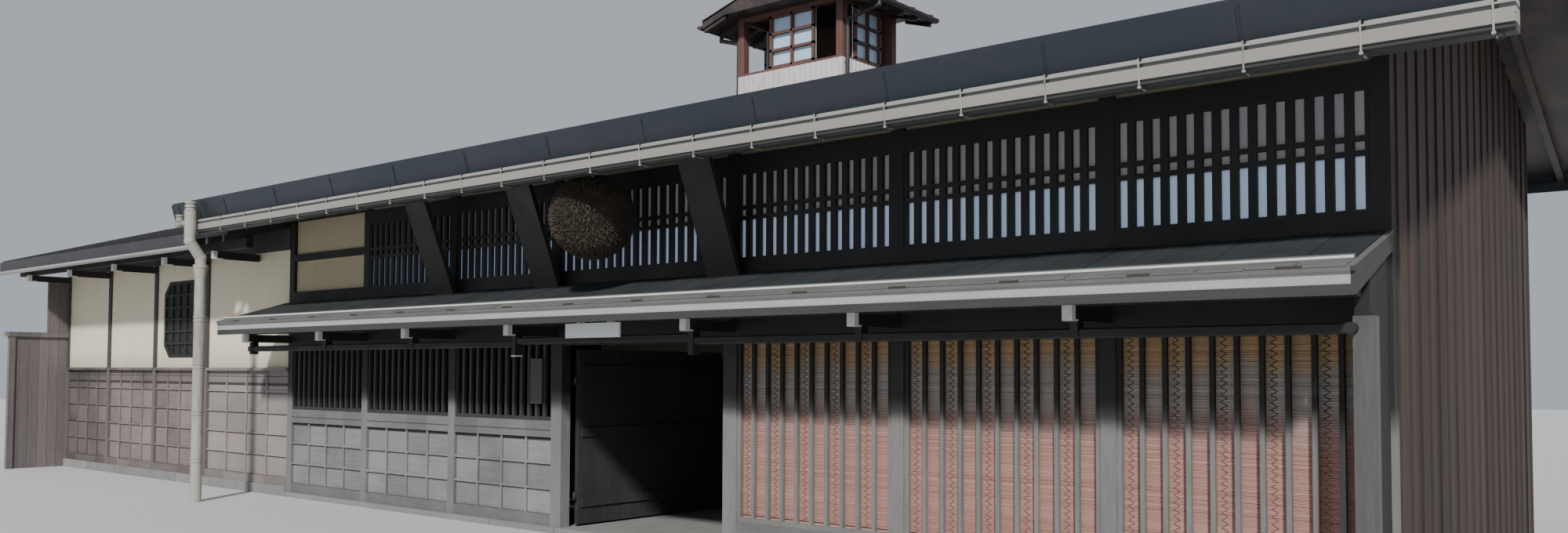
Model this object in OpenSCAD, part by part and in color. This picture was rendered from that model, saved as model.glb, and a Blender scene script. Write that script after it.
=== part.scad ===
// Machiya townhouse: a long two-storey wooden house front under one low roof, with a pent roof between
// its storeys, a one-storey plastered wing on its left and a lantern tower on its ridge.
// Millimetres. X runs along the street front, Y into the house, Z up. The origin is at ground level
// under the street face of the post where the house and the wing meet.

/* [Plan] */
// Spacing of the front posts
bay = 1818; // [1600:1:2000]
// Clear spacing of the two posts beside the doorway
door_bay = 2480; // [2200:10:2800]
// Depth of the main house, street face to rear face
house_depth = 5574; // [4800:10:6400]
// Width of the wing's three equal bays
wing_bay = 1740; // [1600:10:1900]
// Width of the wing's bay beside the main house
wing_end_bay = 2430; // [2300:10:2600]
// Depth of the wing
wing_depth = 3756; // [3400:10:4400]
// Side of a square post
post = 120; // [100:1:150]

/* [Heights] */
// Top of the stone footing under the main house
footing_h = 60; // [40:1:100]
// Further height of the footing under the wing
wing_step = 70; // [30:1:100]
// Top of the boarded dado under the left lattices
dado_top = 1160; // [1050:10:1250]
// Underside of the lintel over the ground floor
lintel_z = 2000; // [1900:10:2050]
// Top of the pent roof where it meets the front
pent_top = 2570; // [2500:10:2650]
// Bottom and top of the upper lattices
upper_low = 2690; // [2640:10:2740]
upper_high = 3520; // [3450:10:3580]
// Top of the main roof at its front edge
eave_top = 3860; // [3800:10:3920]
// Top of the wing roof at its front edge
wing_eave_top = 3510; // [3480:10:3540]
// Top of the wing's boarded dado
wing_dado_top = 1710; // [1600:10:1800]

/* [Roofs] */
// Rise of every roof for each unit of run
pitch = 0.3; // [0.28:0.01:0.32]
// How far the main roof reaches past the front and the rear
main_overhang = 1080; // [1040:10:1120]
// How far the main roof reaches past its left and right ends
verge_left = 1000; // [900:10:1050]
verge_right = 900; // [800:10:1000]
// How far the pent roof reaches past the front
pent_overhang = 920; // [850:10:950]
// How far the wing roof reaches past its front and rear
wing_overhang = 850; // [800:10:860]
// How far the wing roof reaches past its left end
wing_verge = 600; // [400:10:700]
// Thickness of the boarded roof deck
deck_t = 80; // [60:1:100]
// Depth of the rafters under the deck
rafter_h = 90; // [80:1:110]

/* [Lattices] */
// Number of upright bars in a right-hand bay of the ground floor
right_bars = 9; // [7:1:11]
// Width of those bars
right_bar_w = 34; // [25:1:60]
// Number of upright bars in a left-hand bay
left_bars = 12; // [10:1:14]
// Width of those bars
left_bar_w = 42; // [30:1:50]
// Number of upright bars in an upper bay of one post spacing
upper_bars = 13; // [11:1:14]
// Width of those bars
upper_bar_w = 56; // [40:1:60]

/* [Entrance] */
// Thickness of the door leaf
leaf_t = 45; // [35:1:55]
// Height of the door leaf
leaf_h = 1830; // [1780:10:1850]

/* [Tower] */
// Width and depth of the lantern tower
tower_w = 1530; // [1400:10:1700]
tower_d = 1040; // [900:10:1200]
// Distance from the left post of the front to the tower's left side
tower_x = 5970; // [5500:10:6400]
// Top of the tower's sheet-clad skirt
skirt_top = 5140; // [5120:10:5200]
// Underside of the tower roof at its walls
tower_plate = 5830; // [5750:10:5900]

/* [Hanging pieces] */
// Diameter of the cedar ball
ball_d = 800; // [600:10:860]
// Width of the slanting bare boards
board_w = 380; // [300:10:420]

/* [Hidden] */

right_start = 3 * bay + door_bay;
front_w = right_start + 3 * bay;
wing_w = 3 * wing_bay + wing_end_bay;
post_x = [0, bay, 2 * bay, 3 * bay, right_start, right_start + bay, right_start + 2 * bay, front_w];
wing_post_x = [-wing_w, -wing_w + wing_bay, -wing_w + 2 * wing_bay, -wing_end_bay];
wing_base = footing_h + wing_step;
half = post / 2;
wall_t = 100;
sill_h = 120;
rear_y = house_depth - wall_t;

// The main roof: its ridge, its top surface and the undersides of its deck and rafters
ridge_y = house_depth / 2;
ridge_z = eave_top + pitch * (ridge_y + main_overhang);
plate_z = eave_top + pitch * main_overhang - deck_t - rafter_h;
wing_ridge_y = wing_depth / 2;
rafter_w = 60;
rafter_count = 29;
rafter_step = front_w / rafter_count;
function main_top(y) = eave_top + pitch * (main_overhang + min(y, house_depth - y));
function main_low(y) = main_top(y) - deck_t - rafter_h;
function wing_top(y) = wing_eave_top + pitch * (wing_overhang + min(y, wing_depth - y));
function wing_low(y) = wing_top(y) - deck_t - rafter_h;
pent_deck_t = 30;
pent_t = 80;
function pent_high(y) = pent_top + pitch * y;
function deck_low(y) = pent_high(y) - pent_deck_t;

timber = [0.13, 0.12, 0.11];
weathered = [0.30, 0.28, 0.26];
brown_board = [0.27, 0.22, 0.20];
plaster = [0.91, 0.88, 0.74];
paper = [0.88, 0.90, 0.94];
reed = [0.62, 0.36, 0.27];
stone = [0.62, 0.60, 0.57];
sheet_metal = [0.36, 0.35, 0.30];
roof_sheet = [0.17, 0.15, 0.14];
cedar = [0.36, 0.31, 0.25];
white_paint = [0.93, 0.93, 0.91];
glass_tone = [0.80, 0.85, 0.88];

// A box from its lowest to its highest corner
module block(low, high) {
    translate(low) cube(high - low);
}

// A Y-Z outline run along X
module along_x(x0, x1, outline) {
    translate([x0, 0, 0]) rotate([90, 0, 90]) linear_extrude(x1 - x0) polygon(outline);
}

// An X-Z drawing run along Y
module along_y(y0, y1) {
    translate([0, y1, 0]) rotate([90, 0, 0]) linear_extrude(y1 - y0) children();
}

// An upright lattice in the X-Z plane: a frame, n bars and a list of cross rails
module lattice(x0, x1, z0, z1, y0, y1, n, bar_w, edge_w, rail_h, rails) {
    gap = (x1 - x0 - 2 * edge_w - n * bar_w) / (n + 1);
    levels = concat([z0], rails, [z1 - rail_h]);
    along_y(y0, y1) difference() {
        translate([x0, z0]) square([x1 - x0, z1 - z0]);
        for (k = [0:len(levels) - 2])
            for (i = [0:n])
                translate([x0 + edge_w + i * (gap + bar_w), levels[k] + rail_h])
                    square([gap, levels[k + 1] - levels[k] - rail_h]);
    }
}

// A boarded panel with thin battens on its street face
module battened_panel(x0, x1, z0, z1, y, columns, rows) {
    batten_w = 26;
    batten_t = 14;
    block([x0, y, z0], [x1, y + 30, z1]);
    for (i = [1:columns - 1])
        translate([x0 + i * (x1 - x0) / columns - batten_w / 2, y - batten_t, z0])
            cube([batten_w, batten_t, z1 - z0]);
    for (k = [1:rows - 1])
        translate([x0, y - batten_t, z0 + k * (z1 - z0) / rows - batten_w / 2])
            cube([x1 - x0, batten_t, batten_w]);
}

// Footing stones under every wall, with the earth floor between them
footing_lip = 30;
module foundation() {
    color(stone) union() {
        block([-half, -footing_lip, 0], [front_w + half, house_depth, footing_h]);
        block([-wing_w - half, -footing_lip, 0], [-half, wing_depth, wing_base]);
    }
}

// The eight posts of the street front, standing through both storeys
module front_posts() {
    color(timber) for (x = post_x)
        block([x - half, 0, footing_h], [x + half, post, plate_z]);
}

// Ground sills between the posts, and the low rail that the right lattices stand on
module front_sills() {
    color(weathered) {
        for (i = [0:2])
            block([post_x[i] + half, 0, footing_h], [post_x[i + 1] - half, post, footing_h + sill_h]);
        for (i = [4:6])
            block([post_x[i] + half, 0, footing_h], [post_x[i + 1] - half, post, footing_h + 260]);
    }
}

// Boarded dado of the three left bays with a heavy rail on top
module left_dado() {
    rail_low = dado_top - 175;
    color(weathered) for (i = [0:2]) {
        x0 = post_x[i] + half;
        x1 = post_x[i + 1] - half;
        union() {
            battened_panel(x0, x1, footing_h + sill_h, rail_low, 24, 4, 3);
            block([x0, 0, rail_low], [x1, 90, dado_top]);
        }
    }
}

// Slender lattices over the left dado
module left_lattice() {
    color(timber) for (i = [0:2])
        lattice(post_x[i] + half, post_x[i + 1] - half, dado_top, lintel_z, 15, 50,
            left_bars, left_bar_w, 30, 40, []);
}

// Bold lattices of the three right bays
module right_lattice() {
    color(weathered) for (i = [4:6])
        lattice(post_x[i] + half, post_x[i + 1] - half, footing_h + 260, lintel_z, 12, 46,
            right_bars, right_bar_w, 40, 46, []);
}

// Reed blinds hanging close behind the right lattices, each with a slat at its foot
module reed_blinds() {
    color(reed) for (i = [4:6]) {
        x0 = post_x[i] + half + 12;
        x1 = post_x[i + 1] - half - 12;
        union() {
            block([x0, 66, footing_h + 300], [x1, 78, lintel_z]);
            block([x0, 60, footing_h + 280], [x1, 84, footing_h + 320]);
        }
    }
}

// Lintel beams between the posts over the ground floor, up to the pent roof
module front_lintel() {
    color(timber) for (i = [0:6])
        block([post_x[i] + half, 0, lintel_z], [post_x[i + 1] - half, 110, lintel_z + 180]);
}

// Rails hung under the pent arms by a drop at each arm; the right-hand rail ends round
rail_y0 = -535;
rail_y1 = -465;
rail_low = 1920;
rail_h = 70;
module hung_rail(x0, x1, z) {
    bevel = 12;
    along_x(x0, x1, [
        [rail_y0 + bevel, z],
        [rail_y1 - bevel, z],
        [rail_y1, z + bevel],
        [rail_y1, z + rail_h - bevel],
        [rail_y1 - bevel, z + rail_h],
        [rail_y0 + bevel, z + rail_h],
        [rail_y0, z + rail_h - bevel],
        [rail_y0, z + bevel]]);
}
module lintel_pole() {
    drop_w = 60;
    drop_low = [1885, 1928, 1928, 1828, 1828, 1928, 1928];
    end_x = front_w - half;
    color(timber) union() {
        hung_rail(-95, post_x[3], rail_low);
        hung_rail(post_x[3], post_x[4], rail_low + 30);
        hung_rail(post_x[4], end_x, rail_low);
        translate([end_x, rail_y1, rail_low + rail_h / 2]) rotate([90, 0, 0])
            cylinder(d = rail_h, h = rail_y1 - rail_y0, $fn = 48);
        for (i = [0:6])
            block([post_x[i] - drop_w / 2, rail_y0 - 10, drop_low[i]],
                [post_x[i] + drop_w / 2, rail_y1 + 10, arm_low]);
    }
}

// Jamb linings and head of the doorway
jamb_t = 45;
door_x0 = 3 * bay + half + jamb_t;
door_x1 = right_start - half - jamb_t;
module door_frame() {
    color(timber) {
        block([door_x0 - jamb_t, 0, footing_h], [door_x0, post, lintel_z]);
        block([door_x1, 0, footing_h], [door_x1 + jamb_t, post, lintel_z]);
        block([door_x0, 0, lintel_z - 50], [door_x1, post, lintel_z]);
    }
}

// Hinge line of the door leaf, just inside the left jamb
pin_x = door_x0 + 26;
pin_y = post + 45;
pin_r = 10;
hinge_z = [360, 1560];

// Board leaf, standing open into the house, with its hinge knuckles
module entrance_door() {
    leaf_w = door_x1 - door_x0 - 60;
    leaf_x = pin_x - leaf_t / 2;
    leaf_z = footing_h + 20;
    color(weathered) difference() {
        union() {
            block([leaf_x, pin_y + 24, leaf_z], [leaf_x + leaf_t, pin_y + 24 + leaf_w, leaf_z + leaf_h]);
            for (z = [leaf_z + 180, leaf_z + leaf_h / 2, leaf_z + leaf_h - 260])
                block([leaf_x + leaf_t, pin_y + 60, z], [leaf_x + leaf_t + 24, pin_y + leaf_w, z + 90]);
            for (z = hinge_z) {
                translate([pin_x, pin_y, z]) cylinder(r = 18, h = 60, $fn = 48);
                block([pin_x - 6, pin_y + 12, z], [pin_x + 6, pin_y + 40, z + 60]);
            }
        }
        for (z = hinge_z)
            translate([pin_x, pin_y, z - 1]) cylinder(r = pin_r + 0.5, h = 62, $fn = 48);
    }
}

// Pintles on the left jamb that carry the leaf
module door_hinges() {
    color(roof_sheet) for (z = hinge_z) union() {
        translate([pin_x, pin_y, z - 26]) cylinder(r = pin_r, h = 80, $fn = 48);
        translate([pin_x, pin_y, z - 26]) cylinder(r = 18, h = 24, $fn = 48);
        block([door_x0 - 20, post, z - 26], [pin_x, pin_y + 8, z - 2]);
    }
}

// Sloping deck of the pent roof on its rafters
pent_x0 = -150;
pent_x1 = front_w + 40;
module pent_roof() {
    rafter_gap = bay / 4;
    color(weathered) union() {
        along_x(pent_x0, pent_x1, [
            [0, pent_top],
            [0, pent_top - pent_deck_t],
            [-pent_overhang, pent_high(-pent_overhang) - pent_deck_t],
            [-pent_overhang, pent_high(-pent_overhang)]]);
        for (k = [0:29])
            along_x(rafter_gap * k - 20, rafter_gap * k + 20, [
                [0, pent_top - pent_deck_t],
                [0, pent_top - pent_t],
                [-pent_overhang + 52, pent_high(-pent_overhang + 52) - pent_t],
                [-pent_overhang + 52, pent_high(-pent_overhang + 52) - pent_deck_t]]);
    }
}

// Eave board of the pent roof with the rake boards at its ends, and the snow rail lying along its edge
module pent_fascia() {
    rake_t = 30;
    y0 = -pent_overhang + 20;
    y1 = y0 + 32;
    snow_y0 = -pent_overhang + 90;
    snow_y1 = snow_y0 + 55;
    snow_h = 38;
    color(weathered) {
        union() {
            along_x(pent_x0, pent_x1, [
                [y0, 2130],
                [y1, 2130],
                [y1, pent_high(y1) - pent_deck_t],
                [y0, pent_high(y0) - pent_deck_t]]);
            for (x = [pent_x0 - rake_t, pent_x1])
                along_x(x, x + rake_t, [
                    [y0, 2130],
                    [-1, pent_high(0) - 110],
                    [-1, pent_high(0) + 10],
                    [-pent_overhang, pent_high(-pent_overhang) + 10],
                    [-pent_overhang, pent_high(-pent_overhang) - pent_deck_t],
                    [y0, pent_high(y0) - pent_deck_t]]);
        }
        along_x(pent_x0, pent_x1, [
            [snow_y0, pent_high(snow_y0)],
            [snow_y1, pent_high(snow_y1)],
            [snow_y1, pent_high(snow_y1) + snow_h],
            [snow_y0, pent_high(snow_y0) + snow_h]]);
    }
}

// Arms that carry the pent roof's outer beam, one at each post but the last
arm_low = 2040;
arm_high = 2140;
module pent_arms() {
    arm_w = 70;
    beam_y0 = -590;
    beam_y1 = -500;
    color(timber) union() {
        for (i = [0:6])
            block([post_x[i] - arm_w / 2, -640, arm_low], [post_x[i] + arm_w / 2, 0, arm_high]);
        along_x(pent_x0 + 40, pent_x1 - 40, [
            [beam_y0, arm_high],
            [beam_y1, arm_high],
            [beam_y1, pent_high(beam_y1) - pent_t],
            [beam_y0, pent_high(beam_y0) - pent_t]]);
    }
}

// Sill and head beams of the upper storey, and the rails between the plaster fields of its left bay
field_z = [2720, 3130, 3220, 3660, 3760];
module upper_rails() {
    color(timber) {
        for (i = [1:6]) {
            x0 = post_x[i] + half;
            x1 = post_x[i + 1] - half;
            block([x0, 0, lintel_z + 180], [x1, 110, upper_low]);
            block([x0, 0, upper_high], [x1, 110, upper_high + 140]);
        }
        for (z = [[lintel_z + 180, field_z[0]], [field_z[1], field_z[2]], [field_z[3], field_z[4]]])
            block([half, 0, z[0]], [bay - half, 110, z[1]]);
    }
}

// Dark lattices of the six upper bays, each with a pair of cross rails
module upper_lattice() {
    color(timber) for (i = [1:6]) {
        x0 = post_x[i] + half;
        x1 = post_x[i + 1] - half;
        n = round(upper_bars * (x1 - x0) / (bay - post));
        lattice(x0, x1, upper_low, upper_high, 8, 44, n, upper_bar_w, 30, 34, [3068, 3162]);
    }
}

// Paper screens behind the upper lattices
module paper_screens() {
    color(paper) for (i = [1:6])
        block([post_x[i] + half, 62, upper_low], [post_x[i + 1] - half, 92, upper_high]);
}

// Plaster: the fields of the upper left bay and the strip under the eave
module upper_plaster() {
    color(plaster) {
        for (z = [[field_z[0], field_z[1]], [field_z[2], field_z[3]], [field_z[4], plate_z]])
            block([half, 40, z[0]], [bay - half, 90, z[1]]);
        for (i = [1:6])
            block([post_x[i] + half, 40, upper_high + 140], [post_x[i + 1] - half, 90, plate_z]);
    }
}

// Three bare boards that lean out from the pent roof to the eave
module slanting_boards() {
    foot_y = -70;
    top_y = -500;
    top_z = 3620;
    board_t = 55;
    color(timber) for (x = [post_x[2], post_x[3], post_x[4]])
        along_x(x - board_w / 2, x + board_w / 2, [
            [foot_y, pent_high(foot_y)],
            [foot_y - board_t, pent_high(foot_y - board_t)],
            [top_y - board_t, top_z],
            [top_y, top_z]]);
}

// Ball of cedar sprigs on its rope, hung from a rafter of the eave
module cedar_ball() {
    ball_x = 14.5 * rafter_step;
    ball_y = -600;
    ball_z = 3140;
    rope_r = 14;
    color(cedar) translate([ball_x, ball_y, ball_z]) union() {
        sphere(d = ball_d, $fn = 64);
        cylinder(r = rope_r, h = main_low(ball_y - rope_r) - ball_z, $fn = 24);
    }
}

// A folded roof: its deck, the rafters under it and the boards that close their gaps over the walls
module folded_roof(x0, x1, depth, overhang, top, rafters, walls) {
    mid = depth / 2;
    ends = [-overhang, depth + overhang];
    peak = top + pitch * (mid + overhang);
    drop = deck_t + rafter_h;
    along_x(x0, x1, [
        [ends[0], top],
        [mid, peak],
        [ends[1], top],
        [ends[1], top - deck_t],
        [mid, peak - deck_t],
        [ends[0], top - deck_t]]);
    for (x = rafters)
        along_x(x - rafter_w / 2, x + rafter_w / 2, [
            [ends[0], top - deck_t],
            [mid, peak - deck_t],
            [ends[1], top - deck_t],
            [ends[1], top - drop],
            [mid, peak - drop],
            [ends[0], top - drop]]);
    for (y = [40, depth - 90])
        along_x(walls[0], walls[1], [
            for (p = [[y, drop], [y + 50, drop], [y + 50, deck_t], [y, deck_t]])
                [p[0], top + pitch * (overhang + min(p[0], depth - p[0])) - p[1]]]);
}

// The two slopes of the main roof over its rafters
module main_roof() {
    rafters = [for (k = [-2:rafter_count + 1]) (k + 0.5) * rafter_step];
    color(roof_sheet) union()
        folded_roof(-verge_left, front_w + verge_right, house_depth, main_overhang, eave_top, rafters,
            [half, front_w - half]);
}

// Tall sheet-clad boards along the eaves, leaning outwards at the top, and the barge boards at both ends
fascia_low = 3605;
barge_t = 32;
module roof_fascia() {
    back_y = -main_overhang + 38;
    front = [
        [-main_overhang, eave_top + 6],
        [-main_overhang - 70, eave_top + 6],
        [-main_overhang + 10, fascia_low],
        [back_y, fascia_low],
        [back_y, main_low(back_y)],
        [-main_overhang, main_low(-main_overhang)]];
    barge = [
        [-main_overhang - 66, eave_top - 14],
        [ridge_y, ridge_z + 6],
        [house_depth + main_overhang + 66, eave_top - 14],
        [house_depth + main_overhang + 6, eave_top - 220],
        [ridge_y, ridge_z - 250],
        [-main_overhang - 6, eave_top - 220]];
    color(roof_sheet) union() {
        along_x(-verge_left, front_w + verge_right, front);
        along_x(-verge_left, front_w + verge_right, [for (p = front) [house_depth - p[0], p[1]]]);
        along_x(-verge_left - barge_t, -verge_left, barge);
        along_x(front_w + verge_right, front_w + verge_right + barge_t, barge);
    }
}

// Folded cap along the ridge, in two lengths beside the tower
module ridge_cap() {
    cap_y = 150;
    cap = [
        [ridge_y - cap_y, ridge_z - pitch * cap_y],
        [ridge_y, ridge_z],
        [ridge_y + cap_y, ridge_z - pitch * cap_y],
        [ridge_y + cap_y, ridge_z - pitch * cap_y + 30],
        [ridge_y, ridge_z + 34],
        [ridge_y - cap_y, ridge_z - pitch * cap_y + 30]];
    color(roof_sheet) {
        along_x(-verge_left, tower_x, cap);
        along_x(tower_x + tower_w, front_w + verge_right, cap);
    }
}

// Box gutter of the main roof, open on top, with its lip and hangers
gutter_x0 = -350;
gutter_x1 = front_w + verge_right;
gutter_y0 = -1160;
gutter_y1 = -1026;
gutter_low = 3430;
gutter_high = 3600;
module main_gutter() {
    skin = 5;
    hangers = 24;
    step = (gutter_x1 - gutter_x0 - 200) / (hangers - 1);
    face = [
        [gutter_y0 + 34, gutter_low],
        [gutter_y0 + 22, gutter_low + 84],
        [gutter_y0 + 8, gutter_low + 92],
        [gutter_y0 + 8, gutter_high - 34],
        [gutter_y0, gutter_high - 26],
        [gutter_y0, gutter_high]];
    last = len(face) - 1;
    trough = concat([for (k = [0:last]) face[last - k]], [[gutter_y1, gutter_low], [gutter_y1, gutter_high]],
        [[gutter_y1 - skin, gutter_high], [gutter_y1 - skin, gutter_low + skin]],
        [for (k = [0:last]) face[k] + [skin, k == 0 ? skin : 0]]);
    color(sheet_metal) union() {
        along_x(gutter_x0, gutter_x1, trough);
        for (x = [gutter_x0, gutter_x1 - skin])
            along_x(x, x + skin, concat(face, [[gutter_y1, gutter_high], [gutter_y1, gutter_low]]));
        for (x = [for (i = [0:hangers - 1]) gutter_x0 + 100 + i * step]) {
            block([x - 15, gutter_y0, gutter_high - 20], [x + 15, gutter_y1, gutter_high]);
            block([x - 15, -main_overhang + 14, gutter_high], [x + 15, -main_overhang + 34, fascia_low]);
        }
    }
}

// A pipe through a list of points, with a ball at each bend
module pipe_run(points, r) {
    for (i = [0:len(points) - 2]) {
        d = points[i + 1] - points[i];
        translate(points[i]) rotate([0, acos(d[2] / norm(d)), atan2(d[1], d[0])])
            cylinder(r = r, h = norm(d), $fn = 48);
    }
    for (i = [1:len(points) - 2])
        translate(points[i]) sphere(r = r + 4, $fn = 48);
}

// A stack of bands round an upright pipe
module bands(x, y, levels, r, h) {
    for (z = levels)
        translate([x, y, z]) cylinder(r = r, h = h, $fn = 48);
}

// Banded leader head before the gutter's left end, with a side inlet, its offset and the pipe to the ground
module downpipe() {
    pipe_r = 68;
    x = -260;
    pipe_y = (gutter_y0 + gutter_y1) / 2;
    head_y = -1235;
    head_z = 3390;
    side_x = x - 300;
    color(sheet_metal) union() {
        pipe_run([
            [x, head_y, head_z + 20],
            [x, head_y, 3320],
            [x, pipe_y, 3110],
            [x, pipe_y, 0]], pipe_r);
        bands(x, pipe_y, [500, 544, 1100, 1144, 1700, 1744, 2300, 2344], pipe_r + 7, 20);
        translate([x, pipe_y, 2852]) cylinder(r1 = pipe_r + 2, r2 = pipe_r + 16, h = 132, $fn = 48);
        bands(x, pipe_y, [2984], pipe_r + 22, 40);
        translate([x, head_y, head_z]) cylinder(r1 = pipe_r + 2, r2 = 75, h = 310, $fn = 48);
        bands(x, head_y, [3690], 60, 135);
        bands(x, head_y, [3705, 3752, 3800], 72, 20);
        translate([side_x, head_y, 3560]) rotate([0, 90, 0]) cylinder(r = 34, h = x - side_x, $fn = 48);
        bands(side_x, head_y, [3520], 48, 160);
        bands(side_x, head_y, [3535, 3595, 3655], 58, 16);
        block([x - 20, head_y + 60, gutter_high - 20], [x + 20, gutter_y0, gutter_high]);
    }
}

// Side walls of the main house up to the roof, boarded outside
module gable(x0) {
    along_x(x0, x0 + wall_t, [
        [post, footing_h],
        [rear_y, footing_h],
        [rear_y, main_top(rear_y) - deck_t],
        [ridge_y, ridge_z - deck_t],
        [post, main_top(post) - deck_t]]);
}
module left_gable() {
    color(brown_board) gable(-half);
}
module right_gable() {
    color(brown_board) gable(front_w + half - wall_t);
}

// Rear walls of the house and the wing, with their window openings
rear_upper_x = [for (i = [0:3]) 1200 + i * 3200];
rear_lower_x = [1200, 9400];
rear_window_w = 1640;
module rear_openings() {
    for (x = rear_upper_x)
        translate([x, upper_low]) square([rear_window_w, upper_high - upper_low]);
    for (x = rear_lower_x)
        translate([x, 900]) square([rear_window_w, 1000]);
}
module rear_wall() {
    color(plaster) {
        along_y(rear_y, house_depth) difference() {
            translate([-half, footing_h]) square([front_w + post, main_low(house_depth) - footing_h]);
            rear_openings();
        }
        block([-wing_w - half, wing_depth - wall_t, wing_base],
            [-half, wing_depth, wing_low(wing_depth)]);
    }
}

// Lattice windows in the rear wall, each with its closed inner shutter
module rear_window(x, low, high, rail) {
    union() {
        lattice(x, x + rear_window_w, low, high, rear_y + 50, rear_y + 80, 12, 40, 40, 40, [rail]);
        block([x, rear_y + 20, low], [x + rear_window_w, rear_y + 50, high]);
    }
}
module rear_windows() {
    color(timber) {
        for (x = rear_upper_x) rear_window(x, upper_low, upper_high, 3085);
        for (x = rear_lower_x) rear_window(x, 900, 1900, 1380);
    }
}

// Boarded floor of the upper storey
module upper_floor() {
    color(brown_board) block([-half + wall_t, post, 2480], [front_w + half - wall_t, rear_y, 2530]);
}

// Posts of the wing front with the plate beam on top
module wing_posts() {
    color(timber) union() {
        for (x = wing_post_x)
            block([x - 45, -8, wing_base], [x + 45, 100, 3300]);
        block([-wing_w - half, -8, 3300], [-half, 100, wing_low(-8)]);
    }
}

// Boarded dado of the wing with its cap
module wing_dado() {
    ends = concat(wing_post_x, [-half + 45]);
    color(brown_board) for (i = [0:3]) {
        x0 = ends[i] + 45;
        x1 = ends[i + 1] - 45;
        union() {
            block([x0, -8, wing_base], [x1, 90, wing_base + 110]);
            battened_panel(x0, x1, wing_base + 110, wing_dado_top - 40, 24, 4, 5);
            block([x0, -30, wing_dado_top - 40], [x1, 90, wing_dado_top]);
        }
    }
}

// Plastered wall over the dado, with an eight-sided window opening in its third bay
octagon_x = -wing_end_bay - wing_bay / 2;
octagon_low = 1860;
octagon_high = 3030;
octagon_w = 1240;
octagon_cut = 180;
module octagon(grow) {
    w = octagon_w / 2 + grow;
    low = octagon_low - grow;
    high = octagon_high + grow;
    translate([octagon_x, 0]) polygon([
        [-w, low + octagon_cut],
        [-w + octagon_cut, low],
        [w - octagon_cut, low],
        [w, low + octagon_cut],
        [w, high - octagon_cut],
        [w - octagon_cut, high],
        [-w + octagon_cut, high],
        [-w, high - octagon_cut]]);
}
module wing_plaster() {
    ends = concat(wing_post_x, [-half + 45]);
    color(plaster) for (i = [0:3])
        along_y(20, 80) difference() {
            translate([ends[i] + 45, wing_dado_top])
                square([ends[i + 1] - ends[i] - 90, 3300 - wing_dado_top]);
            octagon(0);
        }
}

// Dark frame, lattice and inner board in the eight-sided opening
module octagon_window() {
    columns = 5;
    rows = 6;
    color(timber) union() {
        along_y(28, 52) difference() {
            octagon(0);
            intersection() {
                octagon(-50);
                for (i = [0:columns - 1])
                    for (k = [0:rows - 1])
                        translate([octagon_x - octagon_w / 2 + 50 + i * 234, octagon_low + 50 + k * 184])
                            square([204, 154]);
            }
        }
        along_y(52, 76) octagon(0);
    }
}

// The two slopes of the wing roof over its rafters, with its eave boards and the barge board at its end
module wing_roof() {
    x0 = -wing_w - wing_verge;
    edge = 30;
    first = -wing_w - half - 320;
    rafters = [for (k = [0:17]) first + k * rafter_step];
    color(roof_sheet) union() {
        folded_roof(x0, -half, wing_depth, wing_overhang, wing_eave_top, rafters, [-wing_w - half, -half]);
        for (y = [-wing_overhang - edge, wing_depth + wing_overhang])
            block([x0, y, wing_eave_top - 190], [-half - 950, y + edge, wing_eave_top + 4]);
        along_x(x0 - edge, x0, [
            [-wing_overhang - edge, wing_eave_top - 6],
            [wing_ridge_y, wing_top(wing_ridge_y) + 4],
            [wing_depth + wing_overhang + edge, wing_eave_top - 6],
            [wing_depth + wing_overhang + edge, wing_eave_top - 190],
            [wing_ridge_y, wing_top(wing_ridge_y) - 200],
            [-wing_overhang - edge, wing_eave_top - 190]]);
    }
}

// Half-round gutter of the wing roof
module wing_gutter() {
    outer = 52;
    gutter_y = -wing_overhang - 30 - outer;
    gutter_z = 3330;
    color(sheet_metal) translate([-wing_w - wing_verge, gutter_y, gutter_z]) rotate([90, 0, 90])
        linear_extrude(wing_w + wing_verge - 800) half_round(outer, 5);
}

// Arms and outer beam under the wing eave
module wing_arms() {
    arm_low = 3180;
    arm_high = 3280;
    beam_y0 = -600;
    beam_y1 = -510;
    color(timber) union() {
        for (x = concat(wing_post_x, [-900]))
            block([x - 32, -650, arm_low], [x + 32, -8, arm_high]);
        along_x(-wing_w - wing_verge + 60, -half, [
            [beam_y0, arm_high],
            [beam_y1, arm_high],
            [beam_y1, wing_low(beam_y1)],
            [beam_y0, wing_low(beam_y0)]]);
    }
}

// Plain party wall at the wing's far end
module party_wall() {
    color(brown_board) along_x(-wing_w - half, -wing_w - half + wall_t, [
        [100, wing_base],
        [wing_depth - wall_t, wing_base],
        [wing_depth - wall_t, wing_top(wing_depth - wall_t) - deck_t],
        [wing_ridge_y, wing_top(wing_ridge_y) - deck_t],
        [100, wing_top(100) - deck_t]]);
}

// Boarded wall that stands out from the wing's party line towards the street, with a head beam
module left_sleeve() {
    x0 = -wing_w - half;
    union() {
        block([x0 + 20, -850, 0], [x0 + 60, -footing_lip, 2230]);
        block([x0 + 20, -footing_lip, wing_base], [x0 + 60, -8, 2230]);
        block([x0, -910, 0], [x0 + 90, -820, 2230]);
        block([x0 - 20, -960, 2230], [x0 + 100, -8, 2310]);
        block([x0 + 20, -330, 2310], [x0 + 60, -8, 3180]);
    }
}

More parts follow.
